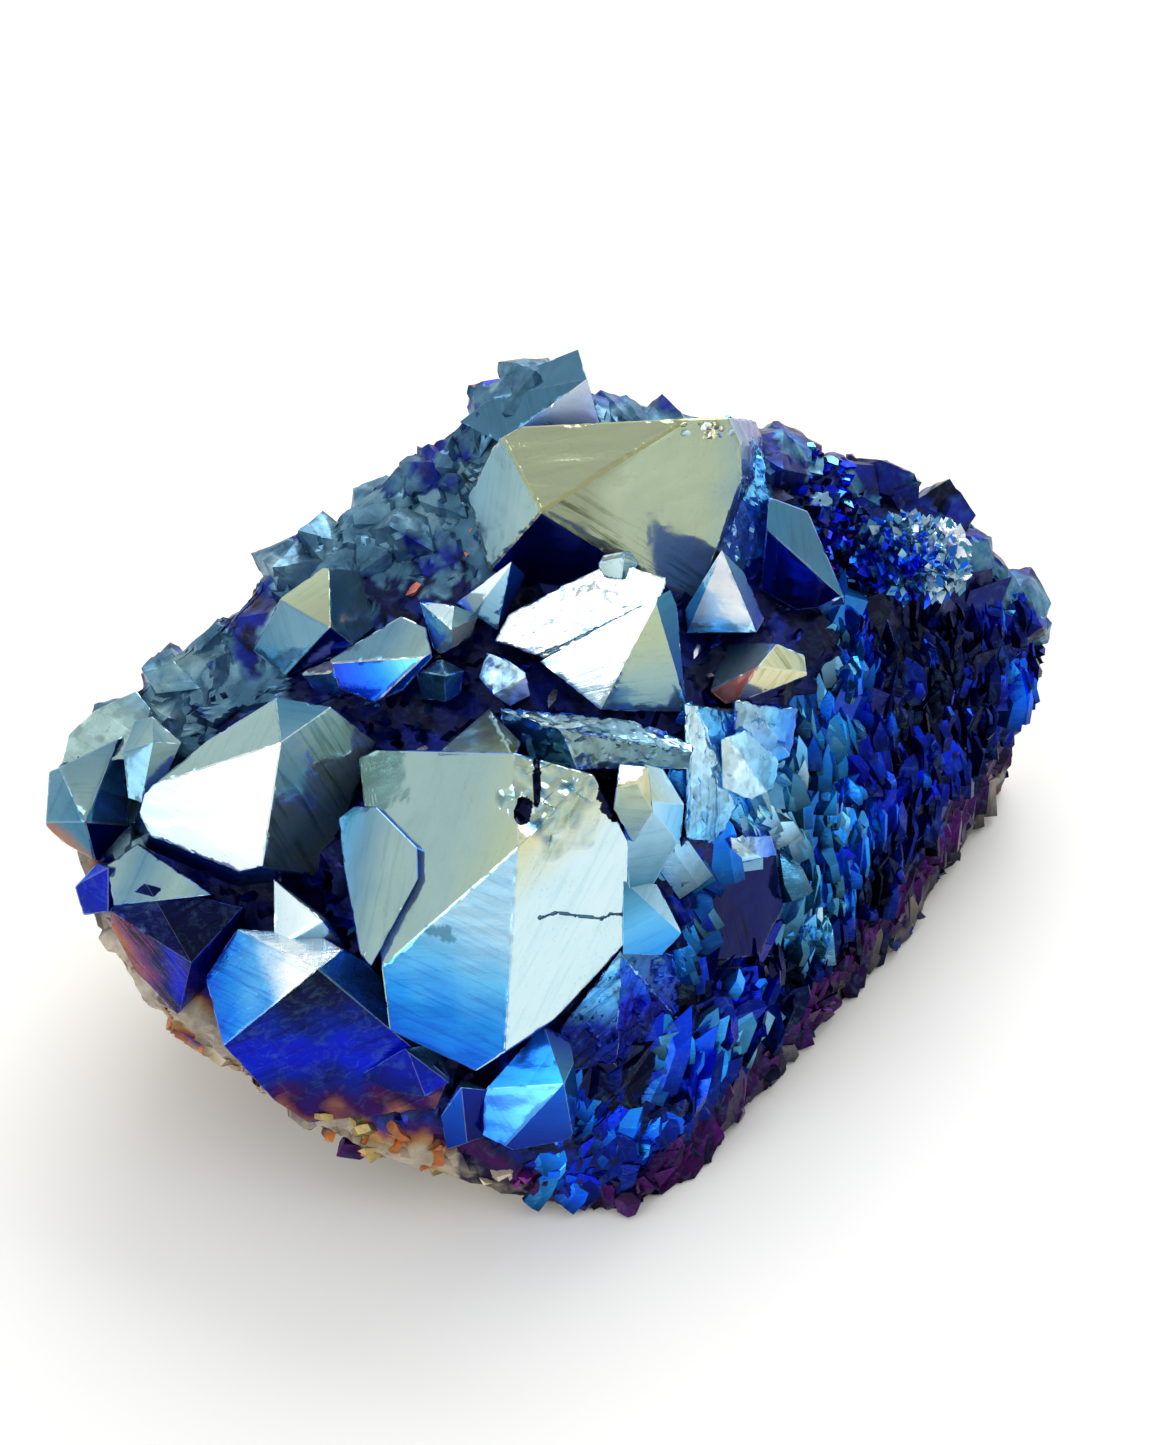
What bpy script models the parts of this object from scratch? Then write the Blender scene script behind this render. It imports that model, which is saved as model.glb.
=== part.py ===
"""Aura quartz cluster: a broken hand specimen of quartz with a titanium coat.

The rough block of quartz rock is a hull of broken corners. Its front is a tipped bed of large
crystals, and its right side is a wall of thin blades. Everything has grown together, so the
blades, lumps and crystals are joined to the block in one solid, cut flat underneath.

Places on the specimen are given on the bed, in millimetres: (across, up, out), where across
runs to the right, up runs up the tipped bed, and out stands straight out of it.
"""

import math
import random

import bpy
import bmesh
from mathutils import Matrix, Vector, noise
from mathutils.bvhtree import BVHTree
from mathutils.geometry import convex_hull_2d

# --- Driving dimensions -----------------------------------------------------------------------

MILLIMETRE = 0.001
BED_TIP = math.radians(45.0)        # the bed of crystals leans back by this much
ORIGIN_SHIFT = (2.1, -36.4, 0.0)    # puts the origin under the middle of the specimen's box

FOOT_LEVEL = 0.0                    # the flat cut that the specimen stands on
FOOT_STOCK = 4.0                    # rock below the cut, taken off

ROCK_EDGE = 7.5                     # longest edge on the rough block
ROCK_ROUNDS = 5                     # times that longer edges are halved
ROCK_RELIEF = 1.1                   # height of its lumps
ROCK_GRAIN = 9.0                    # width of its lumps

BLOCK_STOCK = 120.0                 # side of the block that each crystal is cut from
BLADE_PITCH = 5.2                   # spacing of the blades on the right wall
BLADE_SPREAD = 0.35                 # how far a blade strays, in spacings
BLADE_SIDES = 5
BLADE_TAPER = 0.92                  # width at its shoulder to width at its foot
BLADE_PEAK = (0.14, 0.16, 0.3)      # how far its point stands aside, forward and up
BLADE_LOWEST = 6.5                  # no blade starts lower than this above the foot
BLADE_WIDTHS, BLADE_DEPTHS, BLADE_LENGTHS = (4.4, 7.4), (3.2, 5.2), (5.0, 9.0)
LEAN_SPREAD, LEAN_BELOW = 0.25, 0.6 # how blades lean: at random, and more towards the foot
LEAN_TOP = 34.0                     # above this they stand upright
WALL_START, WALL_END = -2.0, 48.0   # the wall's reach across
WALL_BASE, WALL_TOP = 2.0, 70.0     # and up
VIEW_OUT = 60.0                     # blades are set on the rock from this far out
WALL_TURN = 10.0                    # past this the wall turns away
WALL_FORESHORTENING = 0.68
LUMP_PITCH = 5.6                    # spacing of the broken lumps along the back rim
LUMP_ROWS = 2
LUMP_SIZES = (3.0, 6.0)             # half sizes of a lump
LUMP_DENTS = (0.62, 1.1)            # how far its corners are pushed in and out
LUMP_SINK = 2.0                     # how deep its middle lies in the rock
BACK_RIM_START = 16                 # the first corner of the back rim in the list below

# --- Corners of the broken block --------------------------------------------------------------

FRONT_CORNERS = [                   # (across, up, out): the rim of the bed, from the left end
    (-51.0, 36.0, 0.5), (-48.5, 29.0, 1.5), (-44.0, 21.5, 2.5), (-37.4, 19.0, 4.0),
    (-30.5, 11.8, 4.5), (-21.4, 6.8, 5.0), (-14.0, 5.6, 4.5), (-5.7, 2.8, 2.5),
    (4.8, 0.6, -0.4), (10.8, 3.6, -3.2), (18.4, 13.0, -12.4), (25.0, 20.6, -20.0),
    (34.2, 28.6, -28.0), (38.0, 35.4, -34.6), (44.8, 44.2, -40.6), (46.0, 52.0, -39.6),
    (48.4, 61.0, -34.6), (42.4, 66.2, -27.0), (33.4, 74.2, -21.0), (23.8, 77.4, -15.0),
    (15.6, 77.8, -9.0), (-2.6, 84.4, -3.0), (-7.6, 82.8, -4.0), (-14.2, 75.2, -4.0),
    (-18.4, 72.8, -5.0), (-28.0, 66.4, -5.0), (-33.6, 61.8, -5.0), (-39.8, 56.6, -4.0),
    (-45.2, 51.8, -3.0), (-51.2, 46.8, -2.0), (-52.4, 41.8, -1.0),
]
BED_CORNERS = [                     # (across, up, out): how far the bed swells between them
    (-30.0, 38.0, 4.0), (-24.0, 50.0, 4.5), (-12.0, 60.0, 4.5), (8.0, 66.0, 3.5),
    (12.0, 50.0, 8.0), (10.0, 34.0, 9.0), (6.0, 20.0, 7.0), (-12.0, 16.0, 8.0),
    (-28.0, 22.0, 6.5), (0.0, 44.0, 9.5),
]
BACK_CORNERS = [                    # (x, y, z): the broken back and the foot
    (-43.0, 45.0, 24.0), (-33.0, 56.0, 26.0), (-20.0, 64.0, 36.0), (-6.0, 69.5, 46.0),
    (12.0, 71.5, 40.0), (-28.0, 61.0, 12.0), (-6.0, 72.0, 22.0), (18.0, 74.0, 18.0),
    (38.0, 72.5, 14.0),
]
FOOT_CORNERS = [                    # (x, y) where the sides meet the flat cut
    (5.0, 1.5), (11.0, 5.5), (18.4, 17.5), (25.0, 29.0), (34.0, 40.5), (38.0, 50.0),
    (43.0, 60.0), (31.0, 71.0), (0.0, 69.0), (-20.0, 59.0), (-31.0, 45.0), (-22.0, 25.0),
]

# --- Crystals ---------------------------------------------------------------------------------
# tip: the highest point of the roof. ridges: the far ends of the ridges that run down from it,
# in order round it; the flat faces of the roof lie between them, and a list that ends where it
# started goes all the way round. outline: the corners of the prism, seen straight from outside.
# root: how far out of the bed it starts. lean: how its sides lean across and up the bed.

CRYSTALS = {
    "hero": dict(
        tip=(-5.8, 37.3, 27.0),
        ridges=[(-18.7, 25.9, 20.4), (-7.2, 17.0, 18.5), (1.6, 44.4, 25.4), (-6.3, 46.6, 23.4),
                (-18.7, 25.9, 20.4)],
        outline=[(-21.9, 46.0), (-20.1, 46.9), (-6.3, 46.6), (1.6, 44.4), (5.1, 37.8),
                 (5.1, 27.8), (-2.3, 19.9), (-7.2, 16.8), (-10.1, 14.8), (-18.7, 18.9)],
        root=2.0),
    "hero_lobe": dict(
        tip=(-15.8, 34.0, 20.8),
        ridges=[(-23.9, 40.0, 12.4), (-20.6, 25.2, 20.1)],
        outline=[(-23.9, 40.0), (-22.3, 41.2), (-20.1, 41.2), (-15.9, 37.1), (-15.8, 34.0),
                 (-19.0, 29.3), (-20.5, 25.3), (-21.6, 26.5), (-23.3, 34.9)],
        root=2.0),
    "hero_back": dict(
        tip=(-6.6, 46.6, 22.6),
        ridges=[(-14.1, 46.6, 17.0), (-8.8, 51.0, 11.0), (-5.0, 47.4, 18.0)],
        outline=[(-14.1, 46.4), (-8.8, 51.0), (-5.6, 47.6), (-6.0, 46.4)],
        root=2.0),
    "left_white": dict(
        tip=(-29.6, 47.6, 17.0),
        ridges=[(-43.4, 43.1, 8.8), (-30.2, 51.9, 12.5), (-27.5, 49.1, 16.3),
                (-31.5, 35.9, 10.9), (-43.4, 43.1, 8.8)],
        outline=[(-43.6, 41.7), (-43.2, 43.3), (-36.8, 48.3), (-30.2, 51.9), (-28.0, 51.2),
                 (-20.0, 48.2), (-25.0, 35.8), (-33.6, 35.2), (-42.4, 39.5)],
        root=-2.0, lean=(0.12, 0.28)),
    "left_chip": dict(
        tip=(-42.6, 47.6, 8.6),
        ridges=[(-45.7, 46.7, 7.0), (-42.8, 50.4, 7.2), (-39.6, 47.4, 8.0), (-43.9, 41.5, 7.4),
                (-45.7, 46.7, 7.0)],
        outline=[(-45.7, 46.7), (-44.6, 49.7), (-42.8, 50.2), (-39.8, 47.6), (-41.9, 43.0),
                 (-43.9, 41.5), (-45.2, 42.0)],
        root=-3.0),
    "top_crystal": dict(
        tip=(-3.6, 70.8, 12.0),
        ridges=[(-7.0, 77.3, 7.5), (11.1, 80.1, 7.0), (11.3, 61.6, 2.2), (-9.0, 64.8, 5.0),
                (-7.0, 77.3, 7.5)],
        outline=[(-8.4, 77.6), (-12.0, 72.5), (-9.3, 66.0), (-9.0, 64.8), (0.0, 60.0),
                 (11.3, 61.6), (14.3, 69.8), (15.9, 74.1), (15.9, 77.8), (15.0, 80.4),
                 (-5.8, 79.4)],
        root=-8.0, lean=(-0.24, 0.0)),
    "peak_crystal": dict(
        tip=(1.0, 84.3, 3.0),
        ridges=[(2.2, 80.3, -0.5), (-5.5, 79.6, 0.5), (-9.0, 82.5, -1.5), (0.1, 87.4, -0.6),
                (2.2, 80.3, -0.5)],
        outline=[(-11.9, 80.1), (-4.5, 85.6), (0.1, 87.4), (1.2, 86.5), (4.0, 82.4),
                 (4.7, 80.9), (2.4, 78.5), (-6.0, 77.0)],
        root=-6.0),
    "middle_upper": dict(
        tip=(8.9, 63.9, 19.5),
        ridges=[(2.2, 65.2, 16.8), (-8.2, 57.8, 10.0), (1.6, 58.4, 14.8)],
        outline=[(-6.9, 60.4), (-3.4, 61.5), (2.2, 65.0), (4.4, 65.4), (8.9, 63.9), (8.3, 61.8),
                 (1.6, 58.4), (-3.2, 56.0), (-8.2, 57.8)],
        root=-2.0),
    "middle_knob": dict(
        tip=(4.6, 66.0, 19.0),
        ridges=[(2.3, 65.6, 17.0), (4.8, 67.0, 17.0), (6.2, 65.4, 17.5), (4.4, 64.0, 18.0),
                (2.3, 65.6, 17.0)],
        outline=[(2.1, 65.4), (2.6, 66.3), (5.2, 66.8), (6.2, 65.6), (5.0, 63.8), (2.6, 64.0)],
        root=-2.0),
    "middle_lower": dict(
        tip=(7.9, 61.5, 18.8),
        ridges=[(-3.7, 55.7, 11.8), (2.4, 50.9, 13.1), (10.9, 51.5, 11.0), (9.9, 62.0, 17.8)],
        outline=[(-3.7, 55.7), (1.6, 58.7), (7.9, 61.6), (9.3, 62.8), (9.9, 61.3), (10.9, 51.5),
                 (10.4, 50.7), (2.4, 50.9), (-1.7, 54.4)],
        root=-2.0),
    "small_white": dict(
        tip=(14.6, 66.8, 11.0),
        ridges=[(11.0, 61.0, 6.5), (11.1, 58.7, 5.0), (18.1, 58.7, 6.0), (17.6, 65.6, 6.0)],
        outline=[(14.5, 66.9), (10.9, 61.0), (11.1, 58.7), (18.1, 58.7), (18.9, 60.1),
                 (16.8, 64.7)],
        root=-8.0),
    "small_blue": dict(
        tip=(18.2, 55.2, 9.0),
        ridges=[(20.2, 57.6, 7.6), (23.2, 54.6, 5.6), (16.0, 51.7, 6.2), (13.5, 52.9, 6.4),
                (20.2, 57.6, 7.6)],
        outline=[(14.8, 57.7), (20.0, 57.6), (22.9, 56.4), (23.2, 54.3), (17.3, 52.0),
                 (15.0, 51.4), (13.4, 52.7)],
        root=-12.0),
    "teal_upper": dict(
        tip=(20.0, 68.4, 3.5),
        ridges=[(24.2, 70.6, -1.5), (27.0, 62.2, -0.5), (20.2, 61.6, -2.5), (18.6, 68.0, 2.8)],
        outline=[(19.4, 72.4), (23.4, 71.0), (26.9, 62.8), (27.2, 61.6), (22.4, 61.0),
                 (18.6, 63.0)],
        root=-16.0),
    "teal_lower": dict(
        tip=(26.0, 61.9, 1.0),
        ridges=[(24.3, 60.7, -1.0), (28.2, 59.9, -1.5), (27.2, 62.4, -1.0),
                (24.3, 60.7, -1.0)],
        outline=[(24.3, 61.3), (27.0, 62.6), (28.2, 59.9), (26.0, 59.4)],
        root=-14.0),
    "left_end": dict(
        tip=(-49.6, 39.6, 6.0),
        ridges=[(-53.6, 39.5, 2.6), (-52.0, 44.5, 4.6), (-46.6, 47.2, 5.4), (-45.3, 39.2, 2.4),
                (-48.7, 35.7, 2.6), (-53.6, 39.5, 2.6)],
        outline=[(-53.3, 44.6), (-52.0, 45.0), (-45.8, 48.2), (-45.3, 39.0), (-48.4, 35.5),
                 (-52.2, 37.6), (-53.7, 39.2)],
        root=-4.0),
    "left_slab": dict(
        tip=(-46.4, 49.6, 3.4),
        ridges=[(-51.8, 46.1, 1.4), (-48.5, 50.9, 1.0), (-44.4, 52.8, 1.6)],
        outline=[(-52.0, 45.5), (-51.4, 48.4), (-48.6, 50.9), (-44.6, 52.8), (-43.0, 51.0),
                 (-44.0, 46.0)],
        root=-5.0),
    "dark_left": dict(
        tip=(-38.7, 25.5, 11.4),
        ridges=[(-46.9, 30.6, 7.4), (-43.2, 33.2, 8.6), (-33.8, 30.8, 10.2), (-40.1, 20.2, 5.4),
                (-46.9, 30.6, 7.4)],
        outline=[(-46.9, 30.9), (-43.5, 33.4), (-33.6, 31.0), (-37.2, 23.2), (-40.3, 20.2),
                 (-44.6, 24.6), (-46.9, 29.0)],
        root=-1.0),
    "dark_left_top": dict(
        tip=(-37.0, 32.2, 10.6),
        ridges=[(-46.4, 31.4, 8.2), (-44.3, 37.4, 5.6)],
        outline=[(-47.4, 35.2), (-44.3, 37.4), (-36.6, 32.3), (-43.2, 33.0), (-46.6, 31.2)],
        root=-1.0),
    "dark_left_blue": dict(
        tip=(-47.2, 35.0, 7.2),
        ridges=[(-50.7, 33.2, 3.4), (-49.0, 35.8, 4.4), (-46.0, 35.0, 6.0), (-47.3, 30.4, 4.8),
                (-50.7, 33.2, 3.4)],
        outline=[(-50.7, 33.0), (-48.4, 35.4), (-46.4, 35.4), (-46.8, 30.6), (-49.9, 30.1)],
        root=-1.0),
    "low_front": dict(
        tip=(-25.9, 25.0, 17.0),
        ridges=[(-12.9, 13.9, 11.0), (-35.5, 17.2, 10.5), (-34.0, 28.8, 11.0),
                (-22.0, 28.0, 14.0), (-12.9, 13.9, 11.0)],
        outline=[(-34.0, 28.9), (-37.4, 23.9), (-35.5, 17.2), (-30.5, 11.6), (-27.1, 9.3),
                 (-14.1, 10.8), (-12.9, 13.9), (-18.4, 22.6), (-21.0, 25.6), (-26.0, 28.4)],
        root=0.0),
    "low_front_step": dict(
        tip=(-16.9, 16.6, 13.4),
        ridges=[(-23.4, 13.1, 8.8), (-15.3, 12.2, 9.8), (-12.8, 13.4, 10.6), (-15.0, 18.0, 12.0)],
        outline=[(-23.4, 13.2), (-17.2, 17.0), (-14.0, 17.4), (-12.6, 13.6), (-15.3, 12.0)],
        root=0.0),
    "needle_left": dict(
        tip=(-25.4, 29.7, 15.6),
        ridges=[(-30.4, 33.8, 12.4), (-30.2, 27.0, 11.8), (-23.0, 26.6, 11.6),
                (-24.0, 30.2, 13.0), (-30.4, 33.8, 12.4)],
        outline=[(-30.4, 33.9), (-25.2, 30.0), (-22.9, 26.6), (-28.2, 26.7), (-30.4, 27.1)],
        root=0.0),
    "yellow_tip": dict(
        tip=(-24.8, 59.2, 9.0),
        ridges=[(-25.0, 64.9, 5.2), (-29.8, 61.9, 5.2), (-29.4, 54.4, 2.8), (-21.2, 56.4, 5.2),
                (-25.0, 64.9, 5.2)],
        outline=[(-29.8, 62.2), (-25.6, 65.2), (-22.1, 65.0), (-17.8, 61.5), (-22.7, 57.4),
                 (-24.0, 56.4), (-29.4, 54.3), (-32.8, 56.9)],
        root=-8.0),
    "pale_ridge": dict(
        tip=(-15.4, 56.2, 10.0),
        ridges=[(-17.5, 60.3, 7.8), (-24.9, 55.6, 6.0), (-19.4, 52.4, 8.0), (-14.0, 53.6, 8.0)],
        outline=[(-24.9, 56.0), (-17.7, 60.3), (-15.2, 59.2), (-14.5, 56.2), (-17.5, 52.8),
                 (-20.4, 51.6), (-24.0, 53.0)],
        root=-4.0),
    "pale_ridge_end": dict(
        tip=(-24.6, 54.6, 6.4),
        ridges=[(-28.2, 54.4, 3.6), (-24.0, 56.4, 5.6), (-22.4, 53.0, 5.6), (-28.2, 54.4, 3.6)],
        outline=[(-28.0, 54.6), (-24.0, 56.4), (-21.6, 53.0), (-25.4, 51.8)],
        root=-4.0),
    "star_tip": dict(
        tip=(-12.6, 58.9, 12.0),
        ridges=[(-15.8, 61.7, 8.6), (-12.3, 61.6, 9.6), (-9.8, 60.3, 8.6), (-12.5, 57.0, 9.0),
                (-14.4, 56.6, 8.2), (-15.8, 61.7, 8.6)],
        outline=[(-15.8, 61.7), (-12.3, 61.4), (-9.9, 60.4), (-10.6, 58.4), (-12.5, 57.0),
                 (-13.7, 56.5), (-14.4, 56.9)],
        root=-4.0),
    "needle_mid": dict(
        tip=(-6.6, 65.5, 13.4),
        ridges=[(-12.2, 61.6, 8.4), (-10.2, 60.8, 9.0), (-8.0, 58.9, 9.0), (-5.2, 64.2, 9.5)],
        outline=[(-6.6, 65.7), (-12.2, 61.6), (-10.4, 60.6), (-8.0, 58.9), (-7.0, 60.6),
                 (-5.2, 64.4)],
        root=-4.0),
    "chip_mid": dict(
        tip=(-5.1, 54.2, 13.0),
        ridges=[(-9.1, 56.7, 10.6), (-8.6, 52.3, 9.8), (-4.7, 52.0, 11.4)],
        outline=[(-9.1, 56.6), (-6.9, 55.8), (-5.2, 54.6), (-4.7, 52.3), (-6.7, 51.2),
                 (-8.4, 52.4), (-9.8, 54.2)],
        root=-2.0),
    "small_teal": dict(
        tip=(-13.3, 54.3, 10.6),
        ridges=[(-16.1, 54.8, 8.4), (-13.6, 56.0, 8.8), (-11.3, 54.8, 8.6), (-13.2, 51.7, 8.2),
                (-16.1, 54.8, 8.4)],
        outline=[(-16.1, 54.7), (-13.6, 56.0), (-11.3, 54.9), (-11.7, 52.5), (-13.2, 51.7),
                 (-15.7, 52.0)],
        root=-2.0),
    "behind_hero": dict(
        tip=(-1.6, 48.9, 17.4),
        ridges=[(-7.6, 50.8, 14.4), (5.0, 50.0, 13.6), (11.5, 46.6, 13.0), (0.0, 45.0, 16.6),
                (-7.6, 50.8, 14.4)],
        outline=[(-7.6, 50.9), (-2.0, 50.4), (5.2, 49.8), (11.5, 47.4), (11.2, 45.0), (-6.0, 45.0)],
        root=0.0),
    "cream_chip": dict(
        tip=(6.0, 43.6, 21.4),
        ridges=[(4.4, 45.6, 20.4), (7.2, 45.2, 19.6), (7.6, 40.7, 19.4), (5.4, 37.8, 20.0)],
        outline=[(4.2, 45.5), (7.1, 45.2), (7.6, 40.7), (5.6, 37.6), (3.6, 41.0)],
        root=2.0),
    "teal_shell": dict(
        tip=(7.0, 41.8, 19.2),
        ridges=[(8.2, 45.6, 16.4), (10.6, 41.4, 15.0), (10.2, 37.4, 15.2), (6.0, 33.2, 17.4)],
        outline=[(6.8, 45.5), (8.6, 45.0), (10.7, 41.5), (10.4, 38.2), (7.7, 33.5), (5.2, 33.0),
                 (4.6, 40.0)],
        root=2.0),
    "pale_prism": dict(
        tip=(5.4, 33.2, 17.8),
        ridges=[(8.2, 33.2, 15.4), (10.5, 28.4, 12.4), (5.2, 26.4, 14.8)],
        outline=[(4.6, 33.8), (8.0, 33.4), (10.5, 28.5), (8.5, 26.3), (4.6, 26.4)],
        root=0.0),
    "front_left": dict(
        tip=(-11.6, 13.0, 11.4),
        ridges=[(-13.7, 10.0, 8.6), (-12.6, 13.8, 9.8), (-9.2, 12.7, 9.8), (-11.0, 6.6, 6.6),
                (-13.7, 10.0, 8.6)],
        outline=[(-13.7, 10.0), (-11.6, 13.7), (-9.0, 12.7), (-9.4, 7.8), (-13.1, 6.6)],
        root=-2.0),
    "front_main": dict(
        tip=(-1.3, 13.4, 12.8),
        ridges=[(-6.6, 7.7, 9.0), (-9.3, 12.8, 9.6), (-3.4, 19.4, 12.0), (0.2, 16.6, 9.8),
                (-0.4, 8.0, 7.4), (-6.6, 7.7, 9.0)],
        outline=[(-6.3, 15.4), (-3.4, 19.3), (-0.6, 17.6), (0.2, 11.6), (-0.6, 7.6),
                 (-6.4, 6.6), (-9.5, 8.1), (-9.3, 12.6)],
        root=-2.0),
    "top_flank": dict(
        tip=(13.6, 79.4, 4.6),
        ridges=[(13.0, 62.5, 0.5), (19.4, 66.0, -5.0), (17.6, 80.0, -2.5)],
        outline=[(13.4, 80.2), (15.4, 80.6), (18.6, 77.5), (19.8, 71.0), (19.4, 65.4),
                 (15.0, 62.0), (13.4, 62.0)],
        root=-14.0),
    "lower_shelf": dict(
        tip=(4.4, 26.4, 12.6),
        ridges=[(-1.6, 17.6, 9.4), (4.0, 15.4, 6.4), (10.2, 19.6, 3.4), (10.6, 26.2, 6.0)],
        outline=[(-1.6, 18.8), (4.4, 26.8), (10.5, 26.4), (10.0, 19.8), (4.2, 15.2),
                 (-1.8, 14.6)],
        root=-6.0),
    "frost_sheet": dict(
        tip=(12.2, 50.6, 12.0),
        ridges=[(10.8, 38.4, 10.4), (16.2, 40.6, 5.8), (16.2, 50.4, 7.6)],
        outline=[(10.8, 51.5), (16.2, 50.6), (16.2, 41.4), (13.8, 37.6), (11.0, 38.0)],
        root=-6.0),
    "wall_plate": dict(
        tip=(17.4, 51.4, 8.4),
        ridges=[(16.2, 46.0, 7.2), (21.6, 46.2, 2.0), (22.2, 50.8, 2.2)],
        outline=[(15.8, 51.7), (22.3, 51.0), (21.5, 46.0), (18.0, 44.8), (16.0, 45.6)],
        root=-10.0),
    "bright_plate": dict(
        tip=(15.4, 47.8, 9.8),
        ridges=[(14.6, 42.6, 8.0), (19.4, 42.2, 3.6), (20.2, 46.8, 4.2)],
        outline=[(14.4, 48.0), (17.0, 48.8), (20.3, 46.0), (19.8, 42.8), (17.5, 41.8),
                 (14.6, 43.0)],
        root=-10.0),
    "dark_prism": dict(
        tip=(12.4, 37.0, 6.6),
        ridges=[(12.0, 26.4, 4.4), (19.0, 26.8, -3.4), (20.8, 36.6, -2.6)],
        outline=[(11.4, 37.6), (20.0, 37.2), (21.0, 31.0), (18.6, 26.0), (12.2, 25.2)],
        root=-12.0),
    "pale_ledge": dict(
        tip=(16.4, 37.4, 4.6),
        ridges=[(15.6, 35.4, 3.2), (19.6, 35.2, 1.2), (20.0, 37.6, 1.8)],
        outline=[(15.4, 38.0), (19.6, 38.2), (20.2, 36.2), (16.0, 35.4)],
        root=-8.0),
}
BARE_OF_BLADES = ("lower_shelf", "frost_sheet", "wall_plate", "bright_plate", "dark_prism",
                  "pale_ledge")

BOULDER_PLACE = (33.6, 66.4, -13.0)
BOULDER_SIZE = (6.6, 5.0, 5.4)
BLADE_WALL = [                      # (across, up): the ring of the wall where blades grow
    (10.0, 50.0), (23.5, 50.0), (26.0, 60.0), (46.8, 61.0), (46.0, 46.0), (35.0, 29.0),
    (20.0, 12.0), (6.0, 3.0), (0.0, 6.0), (0.0, 18.0), (7.0, 27.0),
]


# --- Places -----------------------------------------------------------------------------------

def bed_axes():
    """Give the bed's directions (across, up, out) as the columns of a matrix."""
    tip_cos, tip_sin = math.cos(BED_TIP), math.sin(BED_TIP)
    return Matrix(((1.0, 0.0, 0.0), (0.0, tip_sin, -tip_cos), (0.0, tip_cos, tip_sin)))


BED = bed_axes()


def to_world(point):
    """Turn a place on the bed into one in the specimen's own frame, still in millimetres."""
    return BED @ Vector(point)


def inside(point, corners):
    """Say whether a flat point lies inside a ring of corners."""
    hits = False
    for (x0, y0), (x1, y1) in zip(corners, corners[1:] + corners[:1]):
        if (y0 > point[1]) != (y1 > point[1]):
            hits ^= point[0] < x0 + (point[1] - y0) * (x1 - x0) / (y1 - y0)
    return hits


# --- Mesh helpers -----------------------------------------------------------------------------

def slice_off(bm, place, direction):
    """Cut away what lies past a plane, and close the cut with a flat face."""
    geometry = bm.verts[:] + bm.edges[:] + bm.faces[:]
    cut = bmesh.ops.bisect_plane(bm, geom=geometry, dist=1e-5, plane_co=place,
                                 plane_no=direction, clear_outer=True)["geom_cut"]
    edges = [item for item in cut if isinstance(item, bmesh.types.BMEdge)]
    if edges:
        bmesh.ops.holes_fill(bm, edges=edges)


def new_object(name, bm, collection):
    """Make an object of a mesh in millimetres, shifted to the origin and scaled to metres."""
    bmesh.ops.translate(bm, verts=bm.verts, vec=ORIGIN_SHIFT)
    bmesh.ops.scale(bm, verts=bm.verts, vec=(MILLIMETRE,) * 3)
    bmesh.ops.recalc_face_normals(bm, faces=bm.faces[:])
    mesh = bpy.data.meshes.new(name)
    bm.to_mesh(mesh)
    bm.free()
    piece = bpy.data.objects.new(name, mesh)
    collection.objects.link(piece)
    return piece


def split_long_edges(bm, longest, rounds):
    """Divide a mesh into triangles, a few times over, where its edges are longer than a limit."""
    for _ in range(rounds):
        edges = [edge for edge in bm.edges if edge.calc_length() > longest]
        bmesh.ops.subdivide_edges(bm, edges=edges, cuts=1)
        bmesh.ops.triangulate(bm, faces=bm.faces[:], quad_method="SHORT_EDGE")


# --- Shapes -----------------------------------------------------------------------------------

def rough_block():
    """Shape the broken rock: a hull of its corners, divided, roughened and cut flat below."""
    bm = bmesh.new()
    corners = [to_world(corner) for corner in FRONT_CORNERS + BED_CORNERS]
    corners += [Vector(corner) for corner in BACK_CORNERS]
    corners += [Vector((x, y, FOOT_LEVEL - FOOT_STOCK)) for x, y in FOOT_CORNERS]
    for corner in corners:
        bm.verts.new(corner)
    hull = bmesh.ops.convex_hull(bm, input=bm.verts[:])
    bmesh.ops.delete(bm, geom=list(set(hull["geom_interior"])), context="VERTS")
    split_long_edges(bm, ROCK_EDGE, ROCK_ROUNDS)
    bm.normal_update()
    moves = [vert.normal * ROCK_RELIEF * noise.fractal(vert.co / ROCK_GRAIN, 0.8, 2.2, 3)
             for vert in bm.verts]
    for vert, move in zip(bm.verts, moves):
        vert.co += move
    slice_off(bm, (0.0, 0.0, FOOT_LEVEL), (0.0, 0.0, -1.0))
    return bm


def crystal(tip, ridges, outline, root, lean=(0.0, 0.0)):
    """Cut one crystal from a block with its flat faces: first its sides, then its roof."""
    rim = sum(end[2] for end in ridges) / len(ridges)
    axis = Vector((lean[0], lean[1], 1.0))
    corners = [Vector((outline[i][0], outline[i][1], rim))
               for i in convex_hull_2d([Vector(corner) for corner in outline])]
    bm = bmesh.new()
    block = Matrix.Translation((tip[0], tip[1], root + BLOCK_STOCK / 2))
    bmesh.ops.create_cube(bm, size=BLOCK_STOCK, matrix=block)
    for here, there in zip(corners, corners[1:] + corners[:1]):
        slice_off(bm, here, (there - here).cross(axis))
    peak = Vector(tip)
    for here, there in zip(ridges, ridges[1:]):
        face = (Vector(here) - peak).cross(Vector(there) - peak)
        slice_off(bm, peak, face if face.z > 0.0 else -face)
    bmesh.ops.rotate(bm, verts=bm.verts, matrix=BED)
    return bm


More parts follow.
